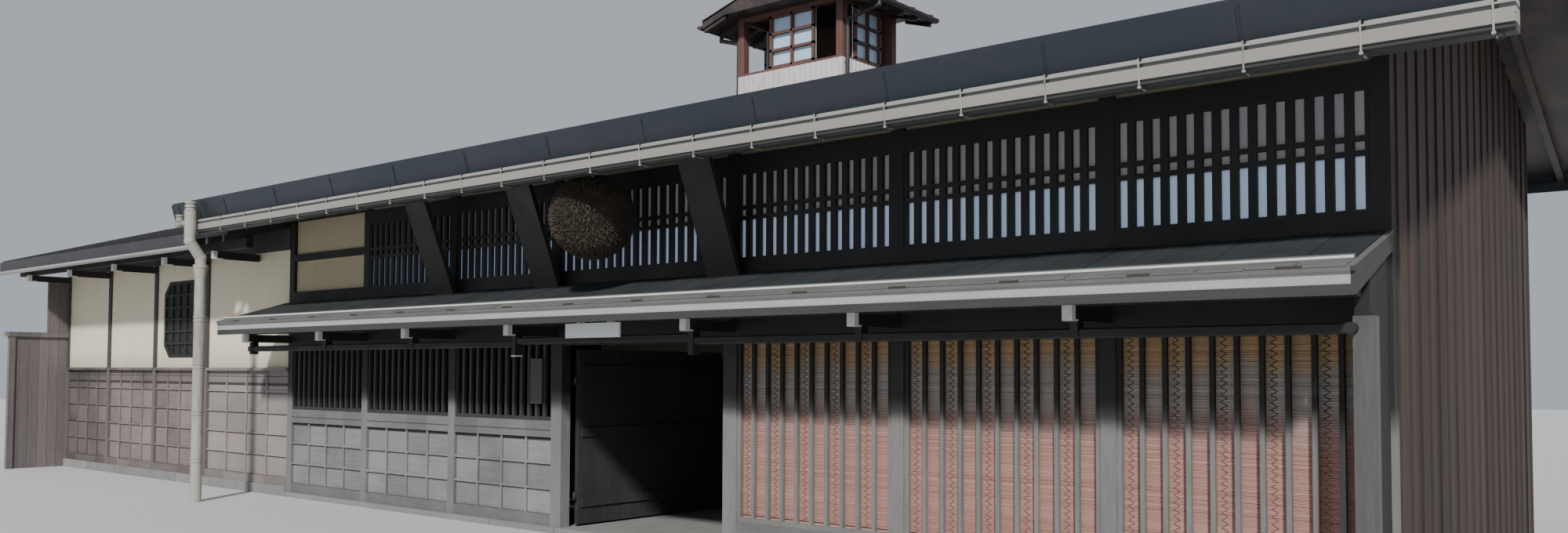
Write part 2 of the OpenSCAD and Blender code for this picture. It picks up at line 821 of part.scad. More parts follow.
// Its shorter counterpart at the right end, under the pent roof, with a square post in front
module right_sleeve() {
    y0 = rail_y1;
    y1 = y0 + post;
    board_t = 36;
    post_top = 2030;
    union() {
        block([front_w - half, y0, 0], [front_w + half, y1, post_top]);
        along_x(front_w - 50, front_w + board_t, [
            [y0, post_top],
            [y1, post_top],
            [y1, deck_low(y1)],
            [y0, deck_low(y0)]]);
        along_x(front_w, front_w + board_t, [
            [y1, 0],
            [-footing_lip, 0],
            [-footing_lip, footing_h],
            [0, footing_h],
            [0, deck_low(0)],
            [y1, deck_low(y1)]]);
    }
}

// The two sleeve walls at the ends of the street front
module sleeve_wall() {
    color(brown_board) {
        left_sleeve();
        right_sleeve();
    }
}

// Sheet-clad skirt of the tower, cut to the two roof slopes
tower_y0 = ridge_y - tower_d / 2;
tower_y1 = ridge_y + tower_d / 2;
module tower_skirt() {
    skin = 40;
    color(sheet_metal) difference() {
        block([tower_x, tower_y0, ridge_z - 400], [tower_x + tower_w, tower_y1, skirt_top]);
        block([tower_x + skin, tower_y0 + skin, ridge_z - 500],
            [tower_x + tower_w - skin, tower_y1 - skin, skirt_top + 1]);
        along_x(tower_x - 10, tower_x + tower_w + 10, [
            [ridge_y - 900, ridge_z - pitch * 900],
            [ridge_y, ridge_z],
            [ridge_y + 900, ridge_z - pitch * 900],
            [ridge_y + 900, ridge_z - 900],
            [ridge_y - 900, ridge_z - 900]]);
    }
}

// Posts and rails of the tower over its skirt, and the boards that close its rear side
tower_post = 90;
sash_low = skirt_top + 30;
sash_high = tower_plate - 50;
module tower_frame() {
    xs = [tower_x, tower_x + tower_w - tower_post];
    ys = [tower_y0, tower_y1 - tower_post];
    color(brown_board) union() {
        for (x = xs)
            for (y = ys)
                block([x, y, skirt_top], [x + tower_post, y + tower_post, tower_plate]);
        for (z = [[skirt_top, sash_low], [sash_high, tower_plate]]) {
            for (y = ys)
                block([tower_x, y + 10, z[0]], [tower_x + tower_w, y + tower_post - 10, z[1]]);
            for (x = xs)
                block([x + 10, tower_y0, z[0]], [x + tower_post - 10, tower_y1, z[1]]);
        }
        block([tower_x, tower_y1 - 50, skirt_top], [tower_x + tower_w, tower_y1 - 30, tower_plate]);
    }
}

// A sliding sash two lights wide and three high, with its frosted panes behind the bars
module tower_sash(w) {
    bar = 28;
    sash_t = 36;
    step = (sash_high - sash_low - bar) / 3;
    union() {
        lattice(0, w, sash_low, sash_high, 0, sash_t, 1, bar, 32, bar, [sash_low + step, sash_low + 2 * step]);
        block([0, sash_t, sash_low], [w, sash_t + 12, sash_high]);
    }
}

// The tower's sashes: in the middle of its front and right side, and slid to the rear on its left side
module tower_windows() {
    inset = 22;
    front_sash_w = 648;
    side_sash_w = 500;
    color(glass_tone) {
        translate([tower_x + 463, tower_y0 + inset, 0]) tower_sash(front_sash_w);
        translate([tower_x + tower_w - inset, ridge_y - side_sash_w / 2, 0]) rotate([0, 0, 90])
            tower_sash(side_sash_w);
        translate([tower_x + inset, tower_y1 - tower_post, 0]) rotate([0, 0, -90]) tower_sash(side_sash_w);
    }
}

// Half-round trough drawn in the X-Z plane, open on top
module half_round(r, skin) {
    difference() {
        circle(r = r, $fn = 48);
        circle(r = r - skin, $fn = 48);
        translate([-r - 1, 0]) square([2 * r + 2, r + 1]);
    }
}

// Roof of the tower, its ridge running from front to rear, with rafters, eave gutters and their drains
module tower_roof() {
    eave = 350;
    verge = 250;
    mid = tower_x + tower_w / 2;
    roof_t = 90;
    run = tower_w / 2 + eave;
    low = tower_plate - pitch * eave;
    y0 = tower_y0 - verge;
    y1 = tower_y1 + verge;
    rafter = 45;
    trough_r = 45;
    drain_r = 24;
    color(roof_sheet) union() {
        along_y(y0, y1) polygon([
            [mid - run, low],
            [mid - tower_w / 2, tower_plate],
            [mid + tower_w / 2, tower_plate],
            [mid + run, low],
            [mid + run, low + roof_t],
            [mid, low + roof_t + pitch * run],
            [mid - run, low + roof_t]]);
        for (s = [-1, 1]) {
            wall_x = mid + s * tower_w / 2;
            tip_x = mid + s * (run - 15);
            trough_x = mid + s * (run + trough_r - 4);
            drain_x = wall_x + s * (drain_r + 10);
            for (k = [0:5])
                translate([0, y0 + 20 + k * (y1 - y0 - 40 - rafter) / 5, 0]) along_y(0, rafter) polygon([
                    [wall_x, tower_plate],
                    [wall_x, tower_plate - rafter],
                    [tip_x, low - rafter + pitch * 15],
                    [tip_x, low + pitch * 15]]);
            along_y(y0, y1) translate([trough_x, low + 40]) half_round(trough_r, 5);
            for (y = [y0, y1 - 5])
                along_y(y, y + 5) translate([trough_x, low + 40]) half_round(trough_r, trough_r);
            for (k = [0:4])
                translate([trough_x, y0 + 60 + k * (y1 - y0 - 120) / 4, low + 34])
                    cube([2 * trough_r + 8, 24, 6], center = true);
            pipe_run([
                [trough_x, ridge_y - 387, low + 2],
                [trough_x, ridge_y - 387, low - 55],
                [drain_x, tower_y0 + 45, low - 170],
                [drain_x, tower_y0 + 45, main_top(tower_y0 + 45) + 12]], drain_r);
            for (z = [skirt_top - 60, low - 240])
                translate([(wall_x + drain_x) / 2, tower_y0 + 45, z])
                    cube([drain_r + 2, 20, 16], center = true);
        }
    }
}

// Tube lamp under the main eave near the left corner
module eave_lamp() {
    lamp_y = -700;
    color(white_paint) union() {
        block([150, lamp_y - 35, main_low(lamp_y) - 45], [1380, lamp_y + 35, main_low(lamp_y - 35)]);
        translate([160, lamp_y, main_low(lamp_y) - 62]) rotate([0, 90, 0]) cylinder(r = 18, h = 1210, $fn = 32);
    }
}

// Two bare boards: one held by two cleats under the pent eave, one hung beside the left jamb
module blank_boards() {
    color(white_paint) union() {
        block([6400, -668, 1995], [7150, -648, 2131]);
        for (x = [6540, 6960])
            block([x, -648, 2105], [x + 50, -590, 2160]);
    }
    color(brown_board) block([5060, -12, 1335], [5250, 15, 1815]);
}

foundation();
front_posts();
front_sills();
left_dado();
left_lattice();
right_lattice();
reed_blinds();
front_lintel();
lintel_pole();
door_frame();
entrance_door();
door_hinges();
pent_roof();
pent_fascia();
pent_arms();
upper_rails();
upper_lattice();
paper_screens();
upper_plaster();
slanting_boards();
cedar_ball();
main_roof();
roof_fascia();
ridge_cap();
main_gutter();
downpipe();
left_gable();
right_gable();
rear_wall();
rear_windows();
upper_floor();
wing_posts();
wing_dado();
wing_plaster();
octagon_window();
wing_roof();
wing_gutter();
wing_arms();
party_wall();
sleeve_wall();
tower_skirt();
tower_frame();
tower_windows();
tower_roof();
eave_lamp();
blank_boards();
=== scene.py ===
import math

import bmesh
import bpy
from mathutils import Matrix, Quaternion, Vector


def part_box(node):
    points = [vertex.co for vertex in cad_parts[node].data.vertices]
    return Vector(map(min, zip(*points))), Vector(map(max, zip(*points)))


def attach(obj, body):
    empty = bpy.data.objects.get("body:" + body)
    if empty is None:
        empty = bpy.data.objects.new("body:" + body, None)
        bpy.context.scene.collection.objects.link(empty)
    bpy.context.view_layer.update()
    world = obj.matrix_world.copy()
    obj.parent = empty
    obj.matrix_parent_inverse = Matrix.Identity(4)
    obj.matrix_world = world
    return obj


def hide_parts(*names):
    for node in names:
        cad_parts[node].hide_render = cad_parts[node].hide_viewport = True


bl_info = {
    "name": "Machiya townhouse",
    "version": (1, 0, 0),
    "blender": (4, 5, 0),
    "location": "View3D > Sidebar > Townhouse",
    "description": "Finishes, cladding and studio for the townhouse",
    "category": "Object",
}

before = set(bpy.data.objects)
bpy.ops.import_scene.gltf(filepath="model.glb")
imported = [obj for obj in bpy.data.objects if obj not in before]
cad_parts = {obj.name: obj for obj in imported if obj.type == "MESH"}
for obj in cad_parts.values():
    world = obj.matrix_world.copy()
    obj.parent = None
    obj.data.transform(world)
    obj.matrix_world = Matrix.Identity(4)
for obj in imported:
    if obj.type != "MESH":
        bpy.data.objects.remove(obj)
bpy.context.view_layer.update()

# Sizes shared with the solids, in metres
BAY = 1.818
POSTS = (0.0, 1.818, 3.636, 5.454, 7.934, 9.752, 11.57, 13.388)
REAR_UPPER = (1.2, 4.4, 7.6, 10.8)
REAR_LOWER = (1.2, 9.4)
REAR_WINDOW_W = 1.64
REAR_UPPER_Z = (2.69, 3.52)
REAR_LOWER_Z = (0.9, 1.9)
WING_POSTS = (-7.65, -5.91, -4.17, -2.43)
HALF_POST = 0.06
FRONT_W = POSTS[-1]
HOUSE_DEPTH = 5.574
WING_DEPTH = 3.756
FOOTING = 0.06
WING_BASE = 0.13
PITCH = 0.3
EAVE_TOP = 3.86
OVERHANG = 1.08
DECK = 0.08
VERGE_LEFT = 1.0
VERGE_RIGHT = 0.9
WING_EAVE_TOP = 3.51
WING_OVERHANG = 0.85
WING_VERGE = 0.6
PENT_TOP = 2.57
PENT_OVERHANG = 0.92
TOWER_X = (5.97, 7.5)
TOWER_Y = (2.267, 3.307)
TOWER_PLATE = 5.83
TOWER_OVERHANG = 0.35
DADO_TOP = 1.16
SILL_TOP = 0.18
HINGE_Y = 0.165


def main_top(y):
    """Height of the main roof's deck over a depth."""
    return EAVE_TOP + PITCH * (OVERHANG + min(y, HOUSE_DEPTH - y))


def wing_top(y):
    """Height of the wing roof's deck over a depth."""
    return WING_EAVE_TOP + PITCH * (WING_OVERHANG + min(y, WING_DEPTH - y))


def pent_high(y):
    """Height of the pent roof's deck over a depth, which is negative in front of the wall."""
    return PENT_TOP + PITCH * y


def both_ways(operation):
    """The methods for one arithmetic sign, with the wire on the left and on the right of it."""
    return (
        lambda wire, other: wire.math(operation, wire, other),
        lambda wire, other: wire.math(operation, other, wire),
    )


# Filled by the first operator, for the pieces that the others make
finishes = {}
groups = {}


class Wire:
    """An output socket of a node tree, with arithmetic that adds Math nodes."""

    def __init__(self, tree, socket):
        self.tree = tree
        self.socket = socket

    def math(self, operation, first, second=0.0):
        return self.tree.node("ShaderNodeMath", {"operation": operation}, {0: first, 1: second})

    __add__, __radd__ = both_ways("ADD")
    __sub__, __rsub__ = both_ways("SUBTRACT")
    __mul__, __rmul__ = both_ways("MULTIPLY")
    __truediv__, __rtruediv__ = both_ways("DIVIDE")

    def floor(self):
        return self.math("FLOOR", self)

    def fraction(self):
        return self.math("FRACT", self)

    def smaller(self, other):
        return self.math("MINIMUM", self, other)


class Tree:
    """A node tree whose nodes are all made by one method."""

    def __init__(self, tree):
        self.tree = tree

    def end(self, kind, values, settings=None):
        """Adds a node, sets it and feeds its sockets with values or wires."""
        made = self.tree.nodes.new(kind)
        for key, value in (settings or {}).items():
            setattr(made, key, value)
        for key, value in values.items():
            self.feed(made.inputs[key], value)
        return made

    def node(self, kind, settings=None, values=None, out=0):
        """Adds a node in the same way, and gives one of its outputs."""
        return Wire(self, self.end(kind, values or {}, settings).outputs[out])

    def feed(self, socket, value):
        """Links a wire to a socket, or sets the socket's own value."""
        if isinstance(value, Wire):
            self.tree.links.new(value.socket, socket)
        elif socket.type == "RGBA" and len(value) == 3:
            socket.default_value = (*value, 1.0)
        else:
            socket.default_value = value


class Shader(Tree):
    """One procedural material on a Principled shader, in the coordinates of the object."""

    def __init__(self, name, roughness=0.7, metallic=0.0):
        self.material = bpy.data.materials.new(name)
        self.material.use_nodes = True
        super().__init__(self.material.node_tree)
        self.tree.nodes.clear()
        surface = self.node("ShaderNodeBsdfPrincipled", values={"Roughness": roughness, "Metallic": metallic})
        self.surface = surface.socket.node
        self.end("ShaderNodeOutputMaterial", {"Surface": surface})
        self.place = self.node("ShaderNodeTexCoord", out="Object")
        self.x, self.y, self.z = (
            self.node("ShaderNodeSeparateXYZ", values={0: self.place}, out=axis) for axis in "XYZ"
        )

    def set(self, name, value):
        """Feeds one socket of the Principled shader."""
        self.feed(self.surface.inputs[name], value)

    def noise(self, scale, stretch=(1.0, 1.0, 1.0), detail=4.0, roughness=0.6):
        """Noise from 0 to 1, drawn out along the axes with a small stretch."""
        where = self.node("ShaderNodeMapping", values={"Vector": self.place, "Scale": stretch})
        return self.node(
            "ShaderNodeTexNoise",
            values={"Vector": where, "Scale": scale, "Detail": detail, "Roughness": roughness},
            out="Fac",
        )

    def chance(self, *parts):
        """A random value from 0 to 1 for each whole number, or pair of them."""
        x, y = (*parts, 0.0)[:2]
        where = self.node("ShaderNodeCombineXYZ", values={0: x, 1: y})
        return self.node("ShaderNodeTexWhiteNoise", {"noise_dimensions": "3D"}, {"Vector": where}, out="Value")

    def between(self, value, low, high, to_low=0.0, to_high=1.0):
        """Takes a value smoothly from one range to another, clamped."""
        return self.node(
            "ShaderNodeMapRange",
            {"interpolation_type": "SMOOTHSTEP", "clamp": True},
            {"Value": value, "From Min": low, "From Max": high, "To Min": to_low, "To Max": to_high},
        )

    def mix(self, factor, first, second):
        """Mixes two colours."""
        return self.node(
            "ShaderNodeMix",
            {"data_type": "RGBA", "blend_type": "MIX", "clamp_factor": True},
            {0: factor, 6: first, 7: second},
            out=2,
        )

    def done(self, tone, height=None, distance=0.003, strength=0.5):
        """Feeds the colour and, if a height is given, the bumps, and gives the material."""
        self.set("Base Color", tone)
        if height:
            values = {"Height": height, "Distance": distance, "Strength": strength}
            self.set("Normal", self.node("ShaderNodeBump", values=values))
        return self.material

    def joints(self, coordinate, pitch, width):
        """1 in the joints between boards and 0 on them, with the number of the board."""
        count = coordinate / pitch
        inside = count.fraction()
        edge = inside.smaller(1.0 - inside) * pitch
        return self.between(edge, width * 0.5, width, 1.0, 0.0), count.floor()

    def band(self, value, low, high):
        """1 between two values and 0 outside them, with edges a millimetre wide."""
        return self.between(value, low - 0.001, low) * self.between(value, high, high + 0.001, 1.0, 0.0)

    def fibre(self, grain):
        """The fine fibre of wood whose grain runs along one axis."""
        return self.noise(55.0, ALONG[grain], 6.0, 0.7)


WEATHERED = ((0.08, 0.08, 0.075), (0.19, 0.188, 0.175))
ALONG = {"X": (0.06, 1.0, 1.0), "Y": (1.0, 0.06, 1.0), "Z": (1.0, 1.0, 0.06)}


def dimmed(tone, factor):
    """A darker form of a colour."""
    return tuple(factor * part for part in tone)


def timber(name, dark, light, grain, roughness=0.7, pitch=0.0, across="X", low=None, low_z=(1.9, 2.1)):
    """Wood with its grain along one axis, in boards of a pitch if one is given, and paler below a height."""
    shader = Shader(name, roughness)
    fibre = shader.fibre(grain)
    patch = shader.noise(1.7, ALONG[grain] if pitch else (1.0, 1.0, 0.6), 3.0)
    amount = fibre * 0.75 + patch * 0.7 - 0.32
    height = fibre
    if pitch:
        gap, number = shader.joints({"X": shader.x, "Y": shader.y, "Z": shader.z}[across], pitch, 0.004)
        amount = amount + shader.chance(number) * 0.5 - 0.25
        height = fibre * 0.35 - gap * 2.0
    tone = shader.mix(amount, dark, light)
    if low:
        faded = shader.mix(amount, low[0], low[1])
        tone = shader.mix(shader.between(shader.z, *low_z), faded, tone)
    if pitch:
        tone = shader.mix(gap * 0.85, tone, (0.004, 0.004, 0.004))
    shader.set("Roughness", shader.between(patch, 0.3, 0.7, roughness - 0.12, roughness + 0.1))
    return shader.done(tone, height)


def dado(name, dark, light, foot, pitch, head, groove, bays, last=None, sun_ramp=None):
    """Battened panels: a tone for each board, painted shade beside the battens and under the rail, and a frame
    with a painted-shade groove line.

    The bays give the first panel's start, the distance between two starts and a panel's width; the last bay
    may have a start and width of its own, and is tinted paler as painted sunlight. The sun ramp is the stretch
    along the wall over which it grows paler, painted sunlight after a darker left end.
    """
    shader = Shader(name, 0.8)
    fibre = shader.fibre("X")
    cloud = shader.noise(1.7, detail=3.0)
    start, period, width = bays
    bay = (shader.x - start) / period
    sides, column = shader.joints(bay.fraction() * period, width / 4, 0.03)
    if last:
        wide, number = shader.joints(shader.x - last[0], last[1] / 4, 0.03)
        beyond = shader.between(shader.x, last[0] - 0.01, last[0])
        sides = sides * (1.0 - beyond) + wide * beyond
        column = column * (1.0 - beyond) + number * beyond
    under, row = shader.joints(shader.z - foot + 0.012, pitch, 0.026)
    amount = fibre * 0.75 + cloud * 0.7 + shader.chance(row, column + bay.floor() * 7.0) * 0.4 - 0.52
    # Painted sunlight: paler along the sun ramp than at the darker left end
    painted_sun = shader.between(shader.x, *sun_ramp) if sun_ramp else 1.0
    tone = shader.mix(
        amount, shader.mix(painted_sun, dimmed(dark, 0.6), dark), shader.mix(painted_sun, dimmed(light, 0.6), light))
    if last:
        # Painted sunlight: the last bay tinted paler
        tone = shader.mix(beyond * 0.09, tone, (1.0, 0.9, 0.88))
    rim = shader.between(shader.z, head - 0.001, head) + shader.between(shader.z, foot, foot + 0.001, 1.0, 0.0)
    # Painted shade: a band on the panels under the rail, and a dark groove line on the frame
    lip = shader.between(shader.z, head - 0.045, head - 0.03)
    lip = lip * shader.between(shader.z, head, head + 0.002, 1.0, 0.0)
    line = shader.joints(shader.z - groove, 10.0, 0.008)[0]
    behind = shader.between(shader.y, 0.018, 0.022)
    shade = (sides * 0.6 + under * 0.75) * (1.0 - rim) * behind + lip * behind * 0.9 + line * 0.75
    tone = shader.mix(rim * 0.3, tone, (0.02, 0.018, 0.016))
    return shader.done(shader.mix(shade, tone, (0.018, 0.016, 0.015)), fibre * 0.5)


def sleeve(sunlit_grey, dark):
    """The two sleeve walls: brown boards on the left; on the right, grey painted sunlight below the post's
    shoulder and the pent's painted shadow in dark above it.
    """
    shader = Shader("Sleeve boards", 0.8)
    fibre = shader.fibre("Z")
    gap, number = shader.joints(shader.y, 0.15, 0.004)
    amount = fibre * 0.75 + shader.noise(1.7, ALONG["Z"], 3.0) * 0.7 + shader.chance(number) * 0.4 - 0.52
    left = shader.mix(amount, (0.08, 0.068, 0.066), (0.25, 0.215, 0.21))
    # Painted light on the right sleeve: sunlit grey below 2.03 m and the pent's painted shadow in dark above;
    # the boards behind the post stay dark
    right = shader.mix(
        shader.between(shader.z, 2.029, 2.031), shader.mix(amount, *sunlit_grey), shader.mix(amount, *dark))
    right = shader.mix(shader.between(shader.y, -0.346, -0.344), right, shader.mix(amount, *dark))
    tone = shader.mix(shader.between(shader.x, 0.0, 1.0), left, right)
    return shader.done(shader.mix(gap * 0.6, tone, (0.01, 0.01, 0.01)), fibre * 0.35 - gap)


def eave_board(pale, white):
    """The pent roof's edge: a bleached board whose lower strip and right-hand end are darkened as painted
    shade, and a snow rail with a painted highlight along its top.
    """
    shader = Shader("Eave board", 0.8)
    fibre = shader.fibre("X")
    amount = fibre * 0.75 + shader.noise(1.7, ALONG["X"], 3.0) * 0.7 - 0.32
    bright = shader.mix(amount, pale, white)
    # Painted shade: the lower strip of the board and the face of its right-hand end
    painted_shade = shader.mix(amount, (0.024, 0.026, 0.024), (0.075, 0.078, 0.07))
    rise = shader.z - (shader.y * PITCH + PENT_TOP)
    middle = (2.13 + pent_high(-0.9) - DECK) / 2 + 0.018
    board = shader.mix(shader.between(shader.z, middle - 0.004, middle + 0.004), painted_shade, bright)
    board = shader.mix(shader.between(shader.x, FRONT_W + 0.04, FRONT_W + 0.042), board, painted_shade)
    # Painted highlight along the top edge of the snow rail
    lip = shader.between(rise, 0.022, 0.03) * shader.between(shader.y, -0.822, -0.818, 1.0, 0.0)
    rail = shader.mix(lip, shader.mix(amount, *WEATHERED), (0.72, 0.71, 0.65))
    return shader.done(shader.mix(shader.between(rise, -0.001, 0.001), board, rail), fibre, 0.004, 0.6)


def gutter_paint():
    """The main gutter's paint: a greenish lip, a pinkish band below a groove darkened as painted shade, and a
    dark foot.
    """
    shader = Shader("Gutter paint", 0.45)
    cloud = shader.noise(2.1, (0.25, 1.0, 1.0), 5.0, 0.65)
    lip = shader.mix(cloud, (0.27, 0.275, 0.245), (0.35, 0.35, 0.315))
    band = shader.mix(cloud, (0.28, 0.255, 0.225), (0.34, 0.32, 0.29))
    # One dark tone serves both the painted shade in the groove and the dark paint of the foot and roll
    groove = shader.mix(cloud, (0.03, 0.031, 0.029), (0.055, 0.057, 0.053))
    tone = groove
    for low, high, paint in ((3.474, 3.5495, band), (3.5705, 4.0, lip)):
        tone = shader.mix(shader.band(shader.z, low, high), tone, paint)
    return shader.done(tone, cloud, 0.006, 0.2)


def plaster(name, base, stain, foot_z, depth):
    """Lime plaster with rain streaks and a soiled foot."""
    shader = Shader(name, 0.85)
    cloud = shader.noise(1.4, detail=5.0, roughness=0.65)
    streak = shader.noise(9.0, (1.0, 1.0, 0.08), 4.0)
    foot = shader.between(shader.z, foot_z, foot_z + depth, 0.45, 0.0)
    amount = cloud * 0.45 + shader.between(streak, 0.5, 0.75) * 0.12 + foot - 0.08
    return shader.done(shader.mix(amount, base, stain), shader.noise(60.0, detail=6.0), 0.002, 0.35)


def sheet(name, base, patch, amount, roughness=0.5, stretch=(1.0, 1.0, 1.0)):
    """Painted sheet metal, dulled and stained in patches."""
    shader = Shader(name, roughness)
    cloud = shader.noise(2.1, stretch, 5.0, 0.65)
    fine = shader.noise(24.0, stretch, 4.0)
    mask = shader.between(cloud * 0.7 + fine * 0.3, 0.42, 0.66) * amount
    shader.set("Roughness", roughness + (fine - 0.5) * 0.2)
    return shader.done(shader.mix(mask, base, patch), cloud, 0.006, 0.2)


def stone():
    """Cut footing stones with joints every 1.1 m and a rough face."""
    shader = Shader("Footing stone", 0.88)
    gap, number = shader.joints(shader.x, 1.1, 0.006)
    grain = shader.noise(70.0, detail=6.0)
    amount = shader.noise(3.0) * 0.7 + grain * 0.4 + shader.chance(number) * 0.3 - 0.35
    tone = shader.mix(amount, (0.17, 0.165, 0.155), (0.34, 0.33, 0.31))
    return shader.done(shader.mix(gap * 0.7, tone, (0.06, 0.06, 0.055)), grain * 0.5 - gap, 0.004, 0.7)


def reeds():
    """Reed blinds: each reed with its own tone, tan at the head and pinkish brown below, in bands that are
    mostly painted shade and sunlight.
    """
    shader = Shader("Reeds", 0.62)
    number = (shader.z / 0.0095).floor()
    band = shader.noise(26.0, (0.02, 1.0, 1.0), 3.0)
    grain = shader.noise(40.0, ALONG["X"], 4.0)
    amount = shader.chance(number) * 0.35 + grain * 0.35 + band * 0.5 - 0.15
    # Bands by height, mostly painted light: pinkish brown below about 1.3 m where sunlight is painted, a pale
    # band, and tan at the head in the pent's painted shade
    low = shader.mix(amount, (0.29, 0.145, 0.118), (0.66, 0.39, 0.325))
    pale = shader.mix(amount, (0.24, 0.20, 0.175), (0.60, 0.54, 0.49))
    high = shader.mix(amount, (0.32, 0.195, 0.095), (0.75, 0.51, 0.275))
    wavy = shader.z + shader.noise(2.2, (1.0, 1.0, 0.3)) * 0.4
    tone = shader.mix(shader.between(wavy, 1.3, 1.75), low, pale)
    return shader.done(shader.mix(shader.between(wavy, 1.84, 2.02), tone, high))


def paper():
    """Window paper with a painted glow for light through it: greyed as painted shade in the upper half, bluish
    white below.
    """
    shader = Shader("Window paper", 0.8)
    number = (shader.x / 0.3).floor()
    amount = shader.noise(3.0, detail=3.0) * 0.6 + shader.chance(number) * 0.25
    low = shader.mix(amount, (0.68, 0.78, 0.93), (0.82, 0.89, 0.97))
    high = shader.mix(amount, (0.34, 0.35, 0.37), (0.52, 0.52, 0.53))
    painted_shade_top = shader.between(shader.z, 3.05, 3.09)
    # Painted glow: emission standing in for light through the paper, dimmer under the painted shade above
    shader.set("Emission Color", shader.mix(painted_shade_top, (0.13, 0.17, 0.25), (0.045, 0.046, 0.05)))
    shader.set("Emission Strength", 1.0)
    return shader.done(shader.mix(painted_shade_top, low, high))


def sprigs():
    """Dried cedar sprigs, browner outside and darker between."""
    shader = Shader("Cedar sprigs", 0.85)
    fine = shader.noise(90.0, detail=3.0)
    cloud = shader.noise(5.0, detail=3.0)
    amount = fine * 0.8 + cloud * 0.5 - 0.35
    return shader.done(shader.mix(amount, (0.022, 0.016, 0.011), (0.165, 0.135, 0.095)), fine, 0.006, 0.8)


def frosted():
    """Frosted, faintly blue panes."""
    shader = Shader("Frosted panes", 0.32)
    shader.set("Coat Weight", 0.4)
    return shader.done(shader.mix(shader.noise(2.5, detail=3.0), (0.42, 0.61, 0.84), (0.62, 0.79, 0.94)))


def plain(name, tone, roughness, metallic=0.0):
    """An even paint or metal with a faint mottle."""
    shader = Shader(name, roughness, metallic)
    amount = shader.noise(18.0, detail=4.0)
    shader.set("Roughness", roughness + (amount - 0.5) * 0.15)
    return shader.done(shader.mix(amount, dimmed(tone, 0.75), tone))


def circle(count):
    """The cosines and sines of even turns round a circle."""
    turns = [2 * math.pi * k / count for k in range(count)]
    return [(math.cos(turn), math.sin(turn)) for turn in turns]


def between_outlines(count):
    """The sides and the two ends of a solid between two outlines."""
    sides = [(k, (k + 1) % count, count + (k + 1) % count, count + k) for k in range(count)]
    return [*sides, tuple(range(count)), tuple(range(2 * count - 1, count - 1, -1))]


class Shape:
    """The vertices and faces of a piece, in metres, in the frame shared with the solids."""

    def __init__(self):
        self.points = []
        self.faces = []

    def add(self, points, faces):
        """Adds a closed solid."""
        start = len(self.points)
        self.points += [tuple(point) for point in points]
        self.faces += [tuple(start + index for index in face) for face in faces]
        return self

    def mesh(self, data):
        """Adds a mesh."""
        return self.add([v.co for v in data.vertices], [p.vertices for p in data.polygons])

    def join(self, other):
        """Adds another shape."""
        return self.add(other.points, other.faces)

    def prism(self, axis, start, end, outline):
        """A closed outline run along an axis; its pairs are the other two axes in order."""
        def at(pair, along):
            point = list(pair)
            point.insert("XYZ".index(axis), along)
            return point

        points = [at(pair, along) for along in (start, end) for pair in outline]
        return self.add(points, between_outlines(len(outline)))

    def box(self, low, high):
        """A box from its lowest to its highest corner."""
        (x0, y0, z0), (x1, y1, z1) = low, high
        return self.prism("Z", z0, z1, [(x0, y0), (x1, y0), (x1, y1), (x0, y1)])

    def rod(self, start, end, radius, sides=12, tip=None):
        """A round rod between two points, or a taper if a tip radius is given."""
        start, end = Vector(start), Vector(end)
        along = (end - start).normalized()
        across = along.orthogonal().normalized()
        up = along.cross(across)
        rims = ((start, radius), (end, radius if tip is None else tip))
        turns = circle(sides)
        points = [spot + size * (a * across + b * up) for spot, size in rims for a, b in turns]
        return self.add(points, between_outlines(sides))

    def ring(self, centre, radius, wire, axis="Y", steps=14, sides=6):
        """A closed ring of wire around an axis."""
        points, faces = [], []
        for i, (cosine, sine) in enumerate(circle(steps)):
            a, b = i * sides, ((i + 1) % steps) * sides
            for k, (out, along) in enumerate(circle(sides)):
                flat = radius + wire * out
                spot = [flat * cosine, flat * sine]
                spot.insert("XYZ".index(axis), wire * along)
                points.append([c + p for c, p in zip(centre, spot)])
                faces.append((a + k, a + (k + 1) % sides, b + (k + 1) % sides, b + k))
        return self.add(points, faces)

    def data(self, name):
        """A mesh with its faces turned outwards and its flat edges kept sharp."""
        made = bpy.data.meshes.new(name)
        made.from_pydata(self.points, [], self.faces)
        work = bmesh.new()
        work.from_mesh(made)
        bmesh.ops.recalc_face_normals(work, faces=work.faces)
        work.to_mesh(made)
        work.free()
        made.polygons.foreach_set("use_smooth", [True] * len(made.polygons))
        made.set_sharp_from_angle(angle=math.radians(40))
        return made


def placed(name, data):
    """Puts a new object into the scene."""
    made = bpy.data.objects.new(name, data)
    bpy.context.scene.collection.objects.link(made)
    return made


def piece(name, shape, finish, body="house", replaced=()):
    """Makes a finished piece at the origin and gives it its finish and its body."""
    data = shape.data(name)
    if not data.polygons:
        raise RuntimeError(f"{name} came out empty")
    data.materials.append(finishes[finish])
    made = placed(name, data)
    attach(made, body)
    if replaced:
        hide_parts(*replaced)
    return made


class Growth(Tree):
    """A node group with named inputs, which ends in one real mesh with one material."""

    def __init__(self, name, inputs):
        super().__init__(bpy.data.node_groups.new(name, "GeometryNodeTree"))
        entries = {**inputs, "Seed": ("Int", 1), "Finish": ("Material", None)}
        for label, (kind, value) in entries.items():
            made = self.tree.interface.new_socket(label, in_out="INPUT", socket_type="NodeSocket" + kind)
            if value is not None:
                made.default_value = value
        self.tree.interface.new_socket("Mesh", in_out="OUTPUT", socket_type="NodeSocketGeometry")
        self.given = self.end("NodeGroupInput", {})

    def entry(self, name):
        """One of the group's own inputs."""
        return Wire(self, self.given.outputs[name])

    def close(self, copies):
        """Makes the copies real, gives them the finish and ends the group."""
        real = self.node("GeometryNodeRealizeInstances", values={0: copies})
        done = self.node("GeometryNodeSetMaterial", values={"Geometry": real, "Material": self.entry("Finish")})
        self.end("NodeGroupOutput", {"Mesh": done})
        return self.tree


